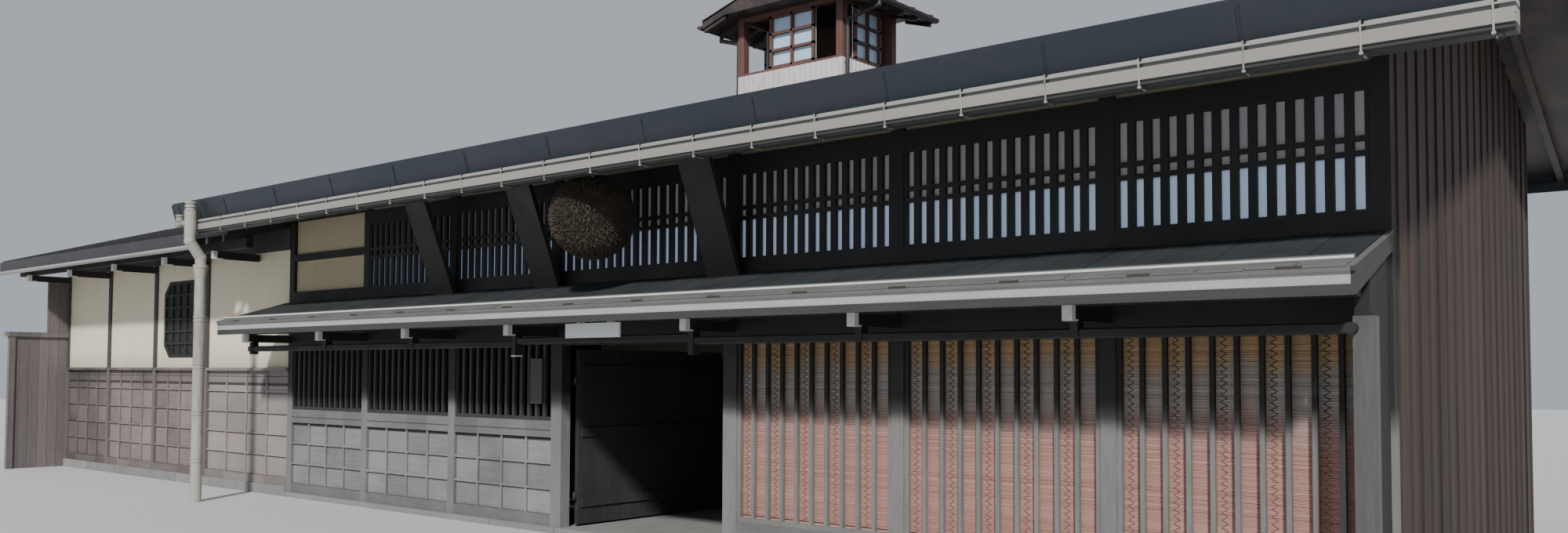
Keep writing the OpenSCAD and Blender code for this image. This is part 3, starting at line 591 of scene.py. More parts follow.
def grid_tree():
    """Node group that repeats a stock piece in columns and rows, each copy a little out of place."""
    tree = Growth("Columns and rows", {
        "Stock": ("Geometry", None),
        "Columns": ("Int", 1),
        "Column step": ("Vector", (1.0, 0.0, 0.0)),
        "Rows": ("Int", 1),
        "Row step": ("Vector", (0.0, 0.0, 1.0)),
        "Shift": ("Vector", (0.0, 0.0, 0.0)),
    })
    copies = tree.entry("Stock")
    for count, step in (("Rows", "Row step"), ("Columns", "Column step")):
        values = {"Count": tree.entry(count), "Offset": tree.entry(step)}
        line = tree.node("GeometryNodeMeshLine", {"mode": "OFFSET"}, values)
        copies = tree.node("GeometryNodeInstanceOnPoints", values={"Points": line, "Instance": copies})
    high = tree.entry("Shift")
    low = tree.node("ShaderNodeVectorMath", {"operation": "SCALE"}, {0: high, "Scale": -1.0})
    limits = {"Min": low, "Max": high, "Seed": tree.entry("Seed")}
    shift = tree.node("FunctionNodeRandomValue", {"data_type": "FLOAT_VECTOR"}, limits)
    values = {"Instances": copies, "Translation": shift}
    return tree.close(tree.node("GeometryNodeTranslateInstances", values=values))


def sprig_tree():
    """Node group that covers a ball with short sprigs standing off its surface."""
    tree = Growth("Sprigs", {
        "Ball": ("Geometry", None),
        "Density": ("Float", 3000.0),
        "Length": ("Float", 0.04),
        "Thickness": ("Float", 0.006),
    })
    ball, seed = tree.entry("Ball"), tree.entry("Seed")
    values = {"Mesh": ball, "Density": tree.entry("Density"), "Seed": seed}
    spread = tree.node("GeometryNodeDistributePointsOnFaces", {"distribute_method": "RANDOM"}, values)
    turn = Wire(tree, spread.socket.node.outputs["Rotation"])
    thickness, length = tree.entry("Thickness"), tree.entry("Length")
    values = {"Vertices": 5, "Radius Top": 0.001, "Radius Bottom": thickness, "Depth": length}
    cone = tree.node("GeometryNodeMeshCone", {"fill_type": "NGON"}, values)
    size = tree.node("FunctionNodeRandomValue", {"data_type": "FLOAT"}, {2: 0.55, 3: 1.0, "Seed": seed}, out=1)
    values = {"Points": spread, "Instance": cone, "Rotation": turn, "Scale": size}
    copies = tree.node("GeometryNodeInstanceOnPoints", values=values)
    both = tree.node("GeometryNodeJoinGeometry", values={0: ball})
    tree.feed(both.socket.node.inputs[0], copies)
    return tree.close(both)


def grown(shape, group, **inputs):
    """The plain mesh that a node group makes from a shape."""
    host = placed("Stock", shape.data("Stock"))
    modifier = host.modifiers.new("Growth", "NODES")
    modifier.node_group = group
    wanted = {name.replace("_", " ").capitalize(): value for name, value in inputs.items()}
    for item in group.interface.items_tree:
        if item.item_type == "SOCKET" and item.in_out == "INPUT" and item.name in wanted:
            modifier[item.identifier] = wanted.pop(item.name)
    if wanted:
        raise RuntimeError(f"the node group has no input named {sorted(wanted)}")
    depsgraph = bpy.context.evaluated_depsgraph_get()
    result = bpy.data.meshes.new_from_object(host.evaluated_get(depsgraph), depsgraph=depsgraph)
    host.modifiers.remove(modifier)
    bpy.data.objects.remove(host)
    if not result.polygons:
        raise RuntimeError("the node group gave an empty mesh")
    return result


def repeated(shape, columns, step, rows=1, row_step=(0.0, 0.0, 0.0), shift=(0.0, 0.0, 0.0), seed=1):
    """A shape that holds copies of a stock shape in columns and rows."""
    data = grown(shape, groups["grid"], columns=columns, column_step=step, rows=rows, row_step=row_step,
                 shift=shift, seed=seed)
    return Shape().mesh(data)


class TownhouseSettings(bpy.types.PropertyGroup):
    """Sizes of what repeats, and the strength of the light."""

    seam_step: bpy.props.FloatProperty(
        name="Seam spacing", description="Distance between the standing seams of the roofs",
        default=0.455, min=0.2, max=0.9, unit="LENGTH",
    )
    board_w: bpy.props.FloatProperty(
        name="Pent board", description="Width of a board on the pent roof",
        default=0.29, min=0.1, max=0.4, unit="LENGTH",
    )
    reed_step: bpy.props.FloatProperty(
        name="Reed spacing", description="Distance between the reeds of a blind",
        default=0.0095, min=0.006, max=0.02, unit="LENGTH",
    )
    sprig_density: bpy.props.FloatProperty(
        name="Sprig density", description="Sprigs on each square metre of the cedar ball",
        default=5200.0, min=500.0, max=9000.0,
    )
    batten_step: bpy.props.FloatProperty(
        name="Batten spacing", description="Distance between the battens on the boarded side walls",
        default=0.303, min=0.15, max=0.6, unit="LENGTH",
    )
    hanger_count: bpy.props.IntProperty(
        name="Gutter hangers", description="Number of hangers along the main gutter",
        default=24, min=8, max=40,
    )
    sun_power: bpy.props.FloatProperty(
        name="Key light", description="Strength of the key light",
        default=4.2, min=0.0, max=20.0,
    )
    sky_power: bpy.props.FloatProperty(
        name="Fill light", description="Strength of the even light from all round",
        default=0.55, min=0.0, max=5.0,
    )
    seed: bpy.props.IntProperty(
        name="Seed", description="Seed of the scattered and shifted pieces",
        default=11, min=0,
    )


class TOWNHOUSE_OT_finishes(bpy.types.Operator):
    """Makes the procedural materials and the node groups, and gives every solid its finish"""

    bl_idname = "townhouse.finishes"
    bl_label = "Finishes"

    def execute(self, context):
        dark = ((0.008, 0.0078, 0.0075), (0.026, 0.025, 0.023))
        sunlit_grey = ((0.105, 0.102, 0.095), (0.27, 0.262, 0.25))
        bleached = ((0.29, 0.285, 0.265), (0.52, 0.51, 0.475))
        shaded = ((0.014, 0.015, 0.015), (0.05, 0.052, 0.05))
        snow_rail = pent_high(-0.83)
        finishes.update(
            # Painted sunlight: the posts and right-hand bars take the grey tones below about 1.25 to 1.5 m,
            # where the sun reaches under the pent
            post=timber("Post timber", *dark, "Z", low=sunlit_grey, low_z=(1.25, 1.5)),
            right_bars=timber("Right-hand bars", *dark, "Z", 0.8, low=sunlit_grey, low_z=(1.2, 1.5)),
            beam=timber("Beam timber", *dark, "X"),
            arm=timber("Arm timber", *dark, "Y"),
            upright=timber("Bar timber", *dark, "Z"),
            shaded=timber("Shaded bar timber", *shaded, "Z"),
            dado=dado("Weathered panels", (0.125, 0.121, 0.115), (0.32, 0.311, 0.296), foot=SILL_TOP,
                      pitch=0.26833, head=0.985, groove=1.06, bays=(HALF_POST, BAY, 1.698)),
            sill=timber("Weathered sills", (0.082, 0.08, 0.075), (0.212, 0.207, 0.197), "X", 0.8),
            # Painted shade: the pent boards behind the snow rail are weathered wood darkened further as shade;
            # those in front of it are weathered grey
            pent=timber("Pent boards", (0.009, 0.012, 0.013), (0.034, 0.041, 0.043), "Y", 0.8, low=WEATHERED,
                        low_z=(snow_rail + 0.012, snow_rail + 0.0145)),
            fascia=eave_board(*bleached),
            wing_dado=dado("Brown panels", (0.112, 0.092, 0.087), (0.335, 0.275, 0.262), foot=0.24, pitch=0.286,
                           head=1.5, groove=1.59, bays=(-7.605, 1.74, 1.65), last=(-2.385, 2.325),
                           sun_ramp=(-6.6, -5.3)),
            brown_boards=timber("Brown boards", (0.088, 0.073, 0.069), (0.25, 0.208, 0.20), "X", 0.8,
                                pitch=0.31, across="Z"),
            wing_post=timber("Wing posts", (0.03, 0.027, 0.026), (0.10, 0.088, 0.083), "Z", 0.8,
                             low=((0.075, 0.062, 0.058), (0.215, 0.178, 0.17)), low_z=(1.69, 1.71)),
            gable=timber("Side boards", (0.016, 0.011, 0.010), (0.085, 0.052, 0.042), "Z", 0.75,
                         pitch=0.303, across="Y"),
            sleeve=sleeve(((0.05, 0.05, 0.047), (0.145, 0.143, 0.135)), dark),
            floor=timber("Floor boards", (0.10, 0.075, 0.05), (0.22, 0.17, 0.12), "X", 0.6,
                         pitch=0.2, across="Y"),
            tower=timber("Tower wood", (0.034, 0.017, 0.014), (0.27, 0.13, 0.10), "Z"),
            slant=timber("Slanting boards", (0.011, 0.010, 0.0085), (0.042, 0.038, 0.032), "Z", 0.6),
            hung=timber("Hung boards", (0.76, 0.79, 0.80), (0.88, 0.90, 0.90), "X", 0.5,
                        low=((0.028, 0.025, 0.022), (0.078, 0.070, 0.062)), low_z=(1.86, 1.9)),
            wing_plaster=plaster("Wing plaster", (0.84, 0.755, 0.575), (0.44, 0.385, 0.28), 1.71, 0.35),
            plaster=plaster("House plaster", (0.54, 0.47, 0.305), (0.28, 0.24, 0.155), 2.7, 0.1),
            rear_plaster=plaster("Rear plaster", (0.66, 0.62, 0.50), (0.38, 0.35, 0.28), DADO_TOP, 0.3),
            roof=sheet("Roof sheet", (0.035, 0.032, 0.031), (0.095, 0.063, 0.052), 0.8),
            eave_sheet=sheet("Eave sheet", (0.018, 0.025, 0.034), (0.033, 0.035, 0.042), 0.7,
                             stretch=(0.4, 1.0, 1.0)),
            wing_sheet=sheet("Wing sheet", (0.034, 0.034, 0.038), (0.060, 0.053, 0.054), 0.7),
            gutter=sheet("Gutter metal", (0.43, 0.39, 0.38), (0.30, 0.26, 0.25), 0.6, 0.45, (0.25, 1.0, 1.0)),
            pipe=sheet("Pipe metal", (0.36, 0.35, 0.295), (0.15, 0.13, 0.10), 0.75, 0.45, (1.0, 1.0, 0.3)),
            tower_sheet=sheet("Tower sheet", (0.70, 0.655, 0.675), (0.50, 0.40, 0.395), 0.7,
                              stretch=(1.0, 1.0, 0.3)),
            gutter_paint=gutter_paint(),
            stone=stone(),
            reeds=reeds(),
            paper=paper(),
            sprigs=sprigs(),
            frosted=frosted(),
            iron=plain("Black iron", (0.03, 0.03, 0.03), 0.5, 0.6),
            enamel=plain("White enamel", (0.78, 0.78, 0.76), 0.35),
            rope=plain("Rope", (0.12, 0.10, 0.07), 0.9),
            # A dark tone for the painted shade in the pent's edge notches
            thread=plain("Thread", (0.05, 0.035, 0.025), 0.8),
            # Painted sunlight: the stitches are paler below about 1.25 to 1.45 m, where the sun reaches under
            # the pent
            stitches=timber("Stitches", (0.03, 0.022, 0.017), (0.06, 0.042, 0.03), "Z", 0.8,
                            low=((0.20, 0.105, 0.082), (0.36, 0.20, 0.16)), low_z=(1.25, 1.45)),
        )
        worn = {
            "stone": "foundation", "post": "front_posts door_frame", "sill": "front_sills", "dado": "left_dado",
            "shaded": "left_lattice entrance_door", "right_bars": "right_lattice", "iron": "door_hinges",
            "beam": "front_lintel lintel_pole upper_rails", "pent": "pent_roof", "fascia": "pent_fascia",
            "arm": "pent_arms wing_arms", "upright": "upper_lattice rear_windows octagon_window",
            "paper": "paper_screens", "plaster": "upper_plaster", "slant": "slanting_boards",
            "roof": "main_roof ridge_cap tower_roof", "eave_sheet": "roof_fascia", "pipe": "downpipe",
            "gutter_paint": "main_gutter", "gable": "left_gable right_gable party_wall",
            "rear_plaster": "rear_wall",
            "floor": "upper_floor", "wing_post": "wing_posts", "wing_dado": "wing_dado",
            "wing_plaster": "wing_plaster", "wing_sheet": "wing_roof", "gutter": "wing_gutter",
            "sleeve": "sleeve_wall", "tower_sheet": "tower_skirt", "tower": "tower_frame",
            "frosted": "tower_windows", "enamel": "eave_lamp", "hung": "blank_boards", "sprigs": "cedar_ball",
            "reeds": "reed_blinds",
        }
        chosen = {name: finish for finish, names in worn.items() for name in names.split()}
        for name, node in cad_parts.items():
            node.data.materials.clear()
            node.data.materials.append(finishes[chosen[name]])
        groups.update(grid=grid_tree(), sprigs=sprig_tree())
        return {"FINISHED"}


class TOWNHOUSE_OT_roofs(bpy.types.Operator):
    """Lays standing seams over the roofs and the eave boards"""

    bl_idname = "townhouse.roofs"
    bl_label = "Roof seams"

    def execute(self, context):
        step = context.scene.townhouse.seam_step
        seam_w, seam_h = 0.03, 0.026

        def seams(name, x0, x1, depth, overhang, top, cap, finish):
            ends = ((-overhang + 0.004, depth / 2 - cap), (depth / 2 + cap, depth + overhang - 0.004))
            stock = Shape()
            for low, high in ends:
                stock.prism("X", x0, x0 + seam_w, [
                    (low, top(low)), (high, top(high)), (high, top(high) + seam_h), (low, top(low) + seam_h)])
            run = x1 - x0 - seam_w
            count = int(run / step) + 1
            even = run / (count - 1)
            piece(name, repeated(stock, count, (even, 0.0, 0.0)), finish)

        left, right = -VERGE_LEFT, FRONT_W + VERGE_RIGHT
        seams("main_roof_seams", left, right, HOUSE_DEPTH, OVERHANG, main_top, 0.15, "roof")
        left, right = WING_POSTS[0] - WING_VERGE, -HALF_POST - 0.05
        seams("wing_roof_seams", left, right, WING_DEPTH, WING_OVERHANG, wing_top, 0.0, "wing_sheet")

        low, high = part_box("tower_roof")
        middle = sum(TOWER_X) / 2
        reach = (TOWER_X[1] - TOWER_X[0]) / 2 + TOWER_OVERHANG
        deck = 0.09
        edge_top = TOWER_PLATE - PITCH * TOWER_OVERHANG + deck
        ridge = 0.03
        stock = Shape()
        for side in (-1, 1):
            outer = middle + side * reach
            inner = middle + side * ridge
            peak = high.z - PITCH * ridge
            stock.prism("Y", low.y, low.y + seam_h, [
                (outer, edge_top - 0.02),
                (inner, peak - 0.02),
                (inner, peak - 0.001),
                (outer, edge_top + 0.014)])
        count = 5
        even = (high.y - low.y - seam_h) / (count - 1)
        piece("tower_roof_seams", repeated(stock, count, (0.0, even, 0.0)), "roof")

        face = [(-1.1385, 3.826), (-1.1467, 3.826), (-1.0788, 3.610), (-1.0706, 3.610)]
        back = [(HOUSE_DEPTH - y, z) for y, z in face]
        stock = Shape()
        for outline in (face, back):
            stock.prism("X", 0.15 - VERGE_LEFT, 0.162 - VERGE_LEFT, outline)
        count = 13
        even = (FRONT_W + VERGE_LEFT + VERGE_RIGHT - 0.3) / (count - 1)
        piece("eave_board_seams", repeated(stock, count, (even, 0.0, 0.0)), "eave_sheet")
        return {"FINISHED"}


class TOWNHOUSE_OT_gutters(bpy.types.Operator):
    """Bands the main gutter and hangs its straps and wire rings"""

    bl_idname = "townhouse.gutters"
    bl_label = "Gutter ironwork"

    def execute(self, context):
        count = context.scene.townhouse.hanger_count
        low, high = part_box("main_gutter")
        band = Shape().prism("X", low.x + 0.004, high.x - 0.004, [
            (-1.1510, 3.5485), (-1.1575, 3.5485), (-1.1520, 3.4745), (-1.1285, 3.4745), (-1.1368, 3.5130),
            (-1.1510, 3.5210)])
        band.rod((low.x + 0.004, -1.1395, 3.452), (high.x - 0.004, -1.1395, 3.452), 0.011, 12)
        piece("gutter_bands", band, "gutter_paint")

        inset, half_strap = 0.1, 0.005
        x = low.x + inset
        even = (high.x - low.x - 2 * inset) / (count - 1)
        strap = Shape()
        strap.box((x - half_strap, -1.1625, 3.548), (x + half_strap, -1.1555, 3.606))
        strap.prism("X", x - half_strap, x + half_strap, [
            (-1.1600, 3.548), (-1.1560, 3.548), (-1.1500, 3.474),
            (-1.1480, 3.428), (-1.1520, 3.424), (-1.1545, 3.474)])
        strap.box((x - half_strap, -1.1500, 3.424), (x + half_strap, -1.032, 3.429))
        strap.box((x - 0.010, -1.1540, 3.422), (x + 0.010, -1.1400, 3.436))
        piece("gutter_straps", repeated(strap, count, (even, 0.0, 0.0)), "pipe")

        hook = Shape()
        hook.box((x + 0.005, -1.1640, 3.586), (x + 0.020, -1.1560, 3.606))
        hook.box((x + 0.005, -1.1640, 3.602), (x + 0.042, -1.1400, 3.609))
        hook.box((x + 0.005, -1.1600, 3.552), (x + 0.024, -1.1515, 3.569))
        hook.ring((x + 0.026, -1.1400, 3.408), 0.021, 0.0038)
        piece("gutter_hooks", repeated(hook, count, (even, 0.0, 0.0)), "iron")
        return {"FINISHED"}


class TOWNHOUSE_OT_pent(bpy.types.Operator):
    """Boards the pent roof and caps its arms"""

    bl_idname = "townhouse.pent"
    bl_label = "Pent roof boards"

    def execute(self, context):
        settings = context.scene.townhouse
        start, end = -0.148, FRONT_W + 0.038
        edge = -PENT_OVERHANG - 0.004
        back, gap = -0.002, 0.009
        under, over = 0.001, 0.013
        stock = Shape().prism("X", start, start + settings.board_w - gap, [
            (back, pent_high(back) + under),
            (edge, pent_high(edge) + under),
            (edge, pent_high(edge) + over),
            (back, pent_high(back) + over)])
        count = round((end - start) / settings.board_w)
        even = (end - start - settings.board_w) / (count - 1)
        boards = repeated(stock, count, (even, 0.0, 0.0), shift=(0.002, 0.0, 0.003), seed=settings.seed)
        piece("pent_boards", boards, "pent")

        tips = Shape()
        rows = (
            (POSTS[:-1], 0.038, (-0.644, -0.590, -0.548), (2.037, 2.050, 2.143)),
            ((*WING_POSTS, -0.9), 0.035, (-0.654, -0.600, -0.520), (3.177, 3.190, 3.283)),
        )
        for places, half, (front, inner, end_y), (low, foot, high) in rows:
            for x in places:
                tips.box((x - half, front, low), (x + half, inner, high))
                tips.box((x - half, inner, low), (x + half, end_y, foot))
        tips.box((POSTS[3] - 0.032, -0.547, 1.826), (POSTS[3] + 0.032, -0.453, 1.840))
        piece("arm_tips", tips, "enamel")

        # Painted shade: dark strips on the boards' front ends where the notches are
        foot = pent_high(edge)
        stock = Shape().box((0.30, edge - 0.0015, foot + 0.001), (0.45, edge + 0.002, foot + 0.0135))
        piece("painted_notch_shade", repeated(stock, 15, (0.909, 0.0, 0.0)), "thread")
        return {"FINISHED"}


class TOWNHOUSE_OT_blinds(bpy.types.Operator):
    """Ties the reed blinds behind the right-hand lattices"""

    bl_idname = "townhouse.blinds"
    bl_label = "Reed blinds"

    def execute(self, context):
        settings = context.scene.townhouse
        blinds, threads = Shape(), Shape()
        foot, head, face, two_bars = 0.39, 1.992, 0.0655, 0.3304
        for number, left in enumerate(POSTS[4:7]):
            x0, x1 = left + HALF_POST + 0.012, left + BAY - HALF_POST - 0.012
            stock = Shape().rod((x0 + 0.002, 0.072, foot), (x1 - 0.002, 0.072, foot), 0.0042, 6)
            count = int((head - foot) / settings.reed_step) + 1
            step = (0.0, 0.0, settings.reed_step)
            shift = (0.0015, 0.0012, 0.0006)
            blinds.join(repeated(stock, count, step, shift=shift, seed=settings.seed + number))
            blinds.box((x0, 0.061, 0.342), (x1, 0.083, 0.378))
            stitch = Shape()
            near, far = x0 + 0.051, x0 + 0.096
            stitch.rod((near, face, foot), (far, face, foot + 0.025), 0.0026, 5)
            stitch.rod((far, face, foot + 0.025), (near, face, foot + 0.05), 0.0026, 5)
            threads.join(repeated(stitch, 32, (0.0, 0.0, 0.05), 5, (two_bars, 0.0, 0.0)))
        piece("tied_reeds", blinds, "reeds", replaced=("reed_blinds",))
        piece("blind_threads", threads, "stitches")
        return {"FINISHED"}


class TOWNHOUSE_OT_ball(bpy.types.Operator):
    """Binds the cedar ball out of sprigs and hangs it on its rope"""

    bl_idname = "townhouse.ball"
    bl_label = "Cedar ball"

    def execute(self, context):
        settings = context.scene.townhouse
        centre, radius = Vector((FRONT_W / 2, -0.6, 3.14)), 0.374
        core = bpy.data.meshes.new("Ball")
        work = bmesh.new()
        bmesh.ops.create_icosphere(work, subdivisions=4, radius=radius)
        bmesh.ops.translate(work, verts=work.verts, vec=centre)
        work.to_mesh(core)
        work.free()
        tied = grown(Shape().mesh(core), groups["sprigs"], density=settings.sprig_density, length=0.046,
                     thickness=0.0085, seed=settings.seed)
        piece("cedar_sprigs", Shape().mesh(tied), "sprigs", replaced=("cedar_ball",))
        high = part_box("cedar_ball")[1].z
        rope = Shape()
        strands, steps, steps_a_turn, lay, foot = 3, 40, 8, 0.007, 3.5
        for strand in range(strands):
            last = None
            for k in range(steps + 1):
                turn = 2 * math.pi * (strand / strands + k / steps_a_turn)
                spot = (centre.x + lay * math.cos(turn), centre.y + lay * math.sin(turn),
                        foot + (high - foot) * k / steps)
                if last:
                    rope.rod(last, spot, 0.0072, 6)
                last = spot
        piece("ball_rope", rope, "rope")
        return {"FINISHED"}


class TOWNHOUSE_OT_walls(bpy.types.Operator):
    """Nails the battens and boards on the side and rear walls"""

    bl_idname = "townhouse.walls"
    bl_label = "Wall battens"

    def execute(self, context):
        step = context.scene.townhouse.batten_step
        battens = Shape()
        first, batten_w, batten_t, inset = 0.13, 0.03, 0.014, 0.1

        def wall(x, side, end, spans):
            count = round((end - first) / step)
            face = sorted((x, x + side * batten_t))
            for k in range(count + 1):
                y = first + k * (end - first - batten_w) / count
                for low, high in spans(y, y + batten_w):
                    battens.box((face[0], y, low), (face[1], y + batten_w, high))

        def open_side(base, top):
            return lambda y0, y1: [(base, min(top(y0), top(y1)) - DECK)]

        def joined_side(y0, y1):
            eave = min(main_top(y0), main_top(y1)) - DECK
            clear = 0.03
            if y1 > WING_DEPTH + WING_OVERHANG:
                return [(FOOTING, eave)]
            over = [(max(wing_top(y0), wing_top(y1)) + clear, eave)]
            return over if y0 < WING_DEPTH + clear else [(FOOTING, wing_top(y1) - DECK - 0.1), *over]

        wall(FRONT_W + HALF_POST, 1, HOUSE_DEPTH - inset, open_side(FOOTING, main_top))
        wall(-HALF_POST, -1, HOUSE_DEPTH - inset, joined_side)
        wall(WING_POSTS[0] - HALF_POST, -1, WING_DEPTH - inset, open_side(WING_BASE, wing_top))
        piece("wall_battens", battens, "gable")

        timbers, boards = Shape(), Shape()
        plate, wing_plate, board_t = 3.99, 3.585, 0.01
        y0, y1 = HOUSE_DEPTH, HOUSE_DEPTH + 0.022
        windows = [(x, *REAR_UPPER_Z) for x in REAR_UPPER] + [(x, *REAR_LOWER_Z) for x in REAR_LOWER]
        for x in POSTS:
            foot = FOOTING
            for sill, head in sorted((z0, z1) for left, z0, z1 in windows if left < x < left + REAR_WINDOW_W):
                timbers.box((x - HALF_POST, y0, foot), (x + HALF_POST, y1, sill))
                foot = head
            timbers.box((x - HALF_POST, y0, foot), (x + HALF_POST, y1, plate))
        for z0, z1 in ((FOOTING, SILL_TOP), (2.15, 2.57), (3.66, plate)):
            timbers.box((-HALF_POST, y0, z0), (FRONT_W + HALF_POST, y1 - 0.004, z1))
        edges = [x + side for x in REAR_LOWER for side in (0.0, REAR_WINDOW_W)]
        edges = [-HALF_POST, *edges, FRONT_W + HALF_POST]
        for x0, x1 in zip(edges[::2], edges[1::2]):
            timbers.box((x0, y0, DADO_TOP), (x1, y1 - 0.004, 1.28))
            inner = (x0 + 0.005 * (x0 < 0), x1 - 0.005 * (x1 > FRONT_W))
            boards.box((inner[0], y0, REAR_LOWER_Z[0]), (inner[1], y0 + board_t, DADO_TOP))
        y0, y1 = WING_DEPTH, WING_DEPTH + 0.022
        for x in (*WING_POSTS, -0.12):
            timbers.box((x - HALF_POST, y0, WING_BASE), (x + HALF_POST, y1, wing_plate))
        for z0, z1 in ((WING_BASE, 0.25), (1.67, 1.76), (3.3, wing_plate)):
            timbers.box((WING_POSTS[0] - HALF_POST, y0, z0), (-HALF_POST, WING_DEPTH + 0.018, z1))
        piece("rear_timbers", timbers, "post")
        boards.box((-0.055, HOUSE_DEPTH, SILL_TOP), (FRONT_W + 0.055, HOUSE_DEPTH + board_t, REAR_LOWER_Z[0]))
        boards.box((WING_POSTS[0] - 0.055, WING_DEPTH, 0.25), (-0.065, WING_DEPTH + board_t, 1.67))
        piece("rear_boards", boards, "brown_boards")
        return {"FINISHED"}


class TOWNHOUSE_OT_tower(bpy.types.Operator):
    """Ribs the lantern tower's sheet skirt and faces the bars of its sashes"""

    bl_idname = "townhouse.tower"
    bl_label = "Tower ribs and sashes"

    def execute(self, context):
        ribs = Shape()
        radius, step = 0.011, 0.0765
        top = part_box("tower_skirt")[1].z
        for y in TOWER_Y:
            foot = main_top(TOWER_Y[0]) - 0.01
            stock = Shape().rod((TOWER_X[0] + 0.04, y, foot), (TOWER_X[0] + 0.04, y, top), radius, 10)
            ribs.join(repeated(stock, 20, (step, 0.0, 0.0)))
        for x in TOWER_X:
            for k in range(13):
                y = TOWER_Y[0] + 0.06 + k * step
                ribs.rod((x, y, main_top(y) - 0.01), (x, y, top), radius, 10)
        piece("skirt_ribs", ribs, "tower_sheet")

        bars = Shape()
        low, high, rail = 5.17, 5.78, 0.028

        def sash(width, place):
            middle = (width - rail) / 2
            uprights = [(0.0, 0.032), (middle, middle + rail), (width - 0.032, width)]
            lying = [low + k * (high - low - rail) / 3 for k in range(4)]
            spans = [(a0, a1, low, high) for a0, a1 in uprights] + [(0.0, width, z, z + rail) for z in lying]
            for a0, a1, z0, z1 in spans:
                near, far = place(a0 - 0.001, -0.002), place(a1 + 0.001, 0.0355)
                bars.box((min(near[0], far[0]), min(near[1], far[1]), max(z0 - 0.001, low)),
                         (max(near[0], far[0]), max(near[1], far[1]), min(z1 + 0.001, high)))

        left, right = TOWER_X
        sash(0.648, lambda a, b: (left + 0.463 + a, TOWER_Y[0] + 0.022 + b))
        sash(0.5, lambda a, b: (right - 0.022 - b, HOUSE_DEPTH / 2 - 0.25 + a))
        sash(0.5, lambda a, b: (left + 0.022 + b, TOWER_Y[1] - 0.09 - a))
        piece("sash_bars", bars, "tower")
        return {"FINISHED"}


class TOWNHOUSE_OT_door(bpy.types.Operator):
    """Boards and studs the entrance door"""

    bl_idname = "townhouse.door"
    bl_label = "Door boards"

    def execute(self, context):
        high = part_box("entrance_door")[1]
        knuckle, leaf_t = 0.024, 0.045
        face = high.x - knuckle
        back = face - leaf_t
        start, end = HINGE_Y + knuckle, high.y
        near, far, foot, head, plank_t = start + 0.003, start + 0.198, 0.081, 1.909, 0.005
        planks = Shape()
        stock = Shape().box((face, near, foot), (face + plank_t, far, head))
        stock.box((back - plank_t, near, foot), (back, far, head))
        count = 11
        even = (end - start - 0.201) / (count - 1)
        planks.join(repeated(stock, count, (0.0, even, 0.0)))
        piece("door_planks", planks, "shaded", body="door")
        iron = Shape()
        for z in (0.305, 1.04, 1.695):
            inner, outer = (high.x - 0.001, start + 0.1, z), (high.x + 0.008, start + 0.1, z)
            stud = Shape().rod(inner, outer, 0.011, 10, 0.005)
            iron.join(repeated(stud, 10, (0.0, 0.2, 0.0)))
        pull_y, pull_z, staple_z = end - 0.12, 0.98, 1.022
        iron.ring((face + 0.014, pull_y, pull_z), 0.042, 0.006, axis="X", steps=24)
        iron.rod((face + 0.004, pull_y, staple_z), (face + 0.022, pull_y, staple_z), 0.012, 12)
        piece("door_ironwork", iron, "iron", body="door")
        return {"FINISHED"}


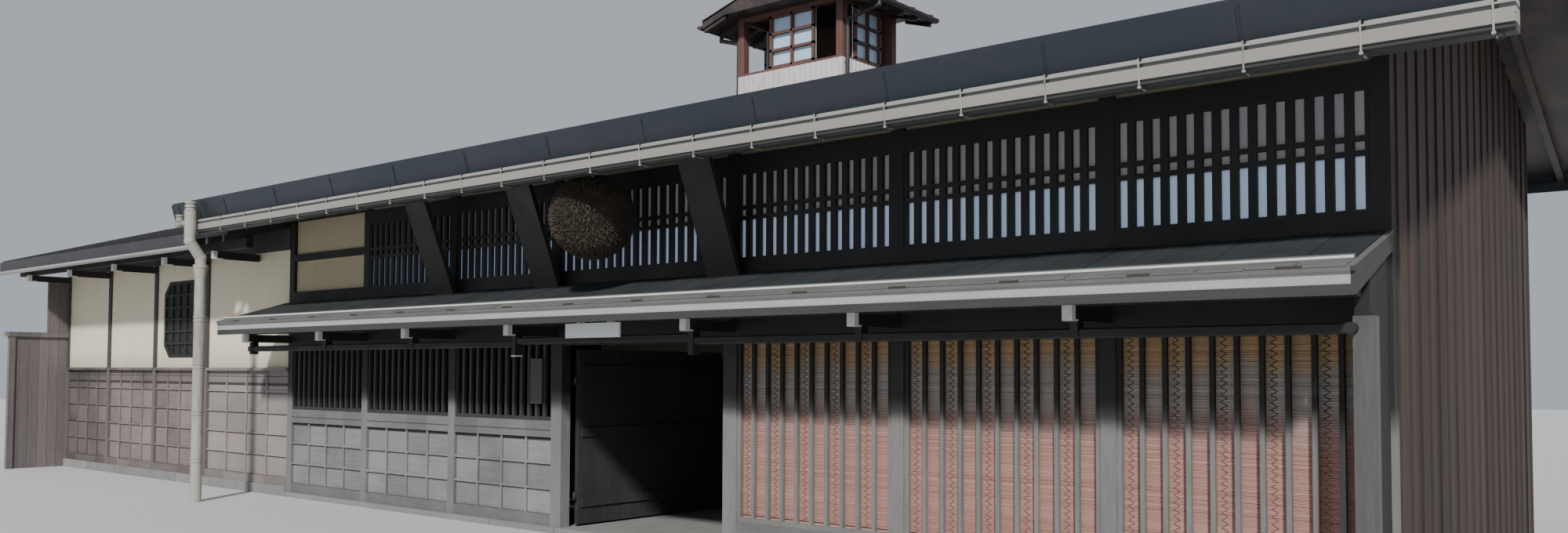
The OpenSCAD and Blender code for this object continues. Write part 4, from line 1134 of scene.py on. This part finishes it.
class TOWNHOUSE_OT_stage(bpy.types.Operator):
    """Sets up the pale floor, the soft light and the camera"""

    bl_idname = "townhouse.stage"
    bl_label = "Studio"

    def execute(self, context):
        settings = context.scene.townhouse
        reach = 60.0
        floor = bpy.data.meshes.new("Floor")
        corners = [(-reach, -reach, 0.0), (reach, -reach, 0.0), (reach, reach, 0.0), (-reach, reach, 0.0)]
        floor.from_pydata(corners, [], [(0, 1, 2, 3)])
        floor.materials.append(plain("Floor paint", (0.62, 0.61, 0.60), 0.8))
        ground = placed("Floor", floor)
        ground.location.z = -0.002

        lamp = bpy.data.lights.new("Key", "SUN")
        lamp.energy = settings.sun_power
        lamp.angle = math.radians(4)
        key = placed("Key", lamp)
        sunbeam = Vector((-0.7, 1.0, -0.91))
        key.rotation_euler = sunbeam.to_track_quat("-Z", "Y").to_euler()

        world = bpy.data.worlds.new("Sky")
        world.use_nodes = True
        sky = world.node_tree.nodes["Background"]
        sky.inputs["Color"].default_value = (0.80, 0.87, 0.97, 1.0)
        sky.inputs["Strength"].default_value = settings.sky_power
        context.scene.world = world

        eye = bpy.data.cameras.new("Camera")
        eye.lens = 27.321
        eye.sensor_width = 36.0
        eye.shift_y = 0.0379
        eye.clip_end = 200.0
        eye.dof.use_dof = False
        camera = placed("Camera", eye)
        camera.location = (15.220, -8.093, 1.683)
        turn, tilt, roll = math.radians(39.487), math.radians(2.209), math.radians(0.225)
        aim = Vector((-math.sin(turn) * math.cos(tilt), math.cos(turn) * math.cos(tilt), math.sin(tilt)))
        level = aim.to_track_quat("-Z", "Y")
        camera.rotation_euler = (level @ Quaternion((0.0, 0.0, 1.0), roll)).to_euler()
        context.scene.camera = camera
        return {"FINISHED"}


class TOWNHOUSE_PT_panel(bpy.types.Panel):
    """Buttons and sizes of the townhouse"""

    bl_idname = "TOWNHOUSE_PT_panel"
    bl_label = "Townhouse"
    bl_space_type = "VIEW_3D"
    bl_region_type = "UI"
    bl_category = "Townhouse"

    def draw(self, context):
        settings = context.scene.townhouse
        for name in TownhouseSettings.__annotations__:
            self.layout.prop(settings, name)
        for operator in OPERATORS:
            self.layout.operator(operator.bl_idname)


OPERATORS = (
    TOWNHOUSE_OT_finishes,
    TOWNHOUSE_OT_roofs,
    TOWNHOUSE_OT_gutters,
    TOWNHOUSE_OT_pent,
    TOWNHOUSE_OT_blinds,
    TOWNHOUSE_OT_ball,
    TOWNHOUSE_OT_walls,
    TOWNHOUSE_OT_tower,
    TOWNHOUSE_OT_door,
    TOWNHOUSE_OT_stage,
)


def register():
    for made in (TownhouseSettings, *OPERATORS, TOWNHOUSE_PT_panel):
        bpy.utils.register_class(made)
    bpy.types.Scene.townhouse = bpy.props.PointerProperty(type=TownhouseSettings)


def unregister():
    del bpy.types.Scene.townhouse
    for made in (TOWNHOUSE_PT_panel, *reversed(OPERATORS), TownhouseSettings):
        bpy.utils.unregister_class(made)


def main():
    """Registers the add-on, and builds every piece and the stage."""
    register()
    bpy.ops.townhouse.finishes()
    bpy.ops.townhouse.roofs()
    bpy.ops.townhouse.gutters()
    bpy.ops.townhouse.pent()
    bpy.ops.townhouse.blinds()
    bpy.ops.townhouse.ball()
    bpy.ops.townhouse.walls()
    bpy.ops.townhouse.tower()
    bpy.ops.townhouse.door()
    bpy.ops.townhouse.stage()


if __name__ == "__main__":
    main()
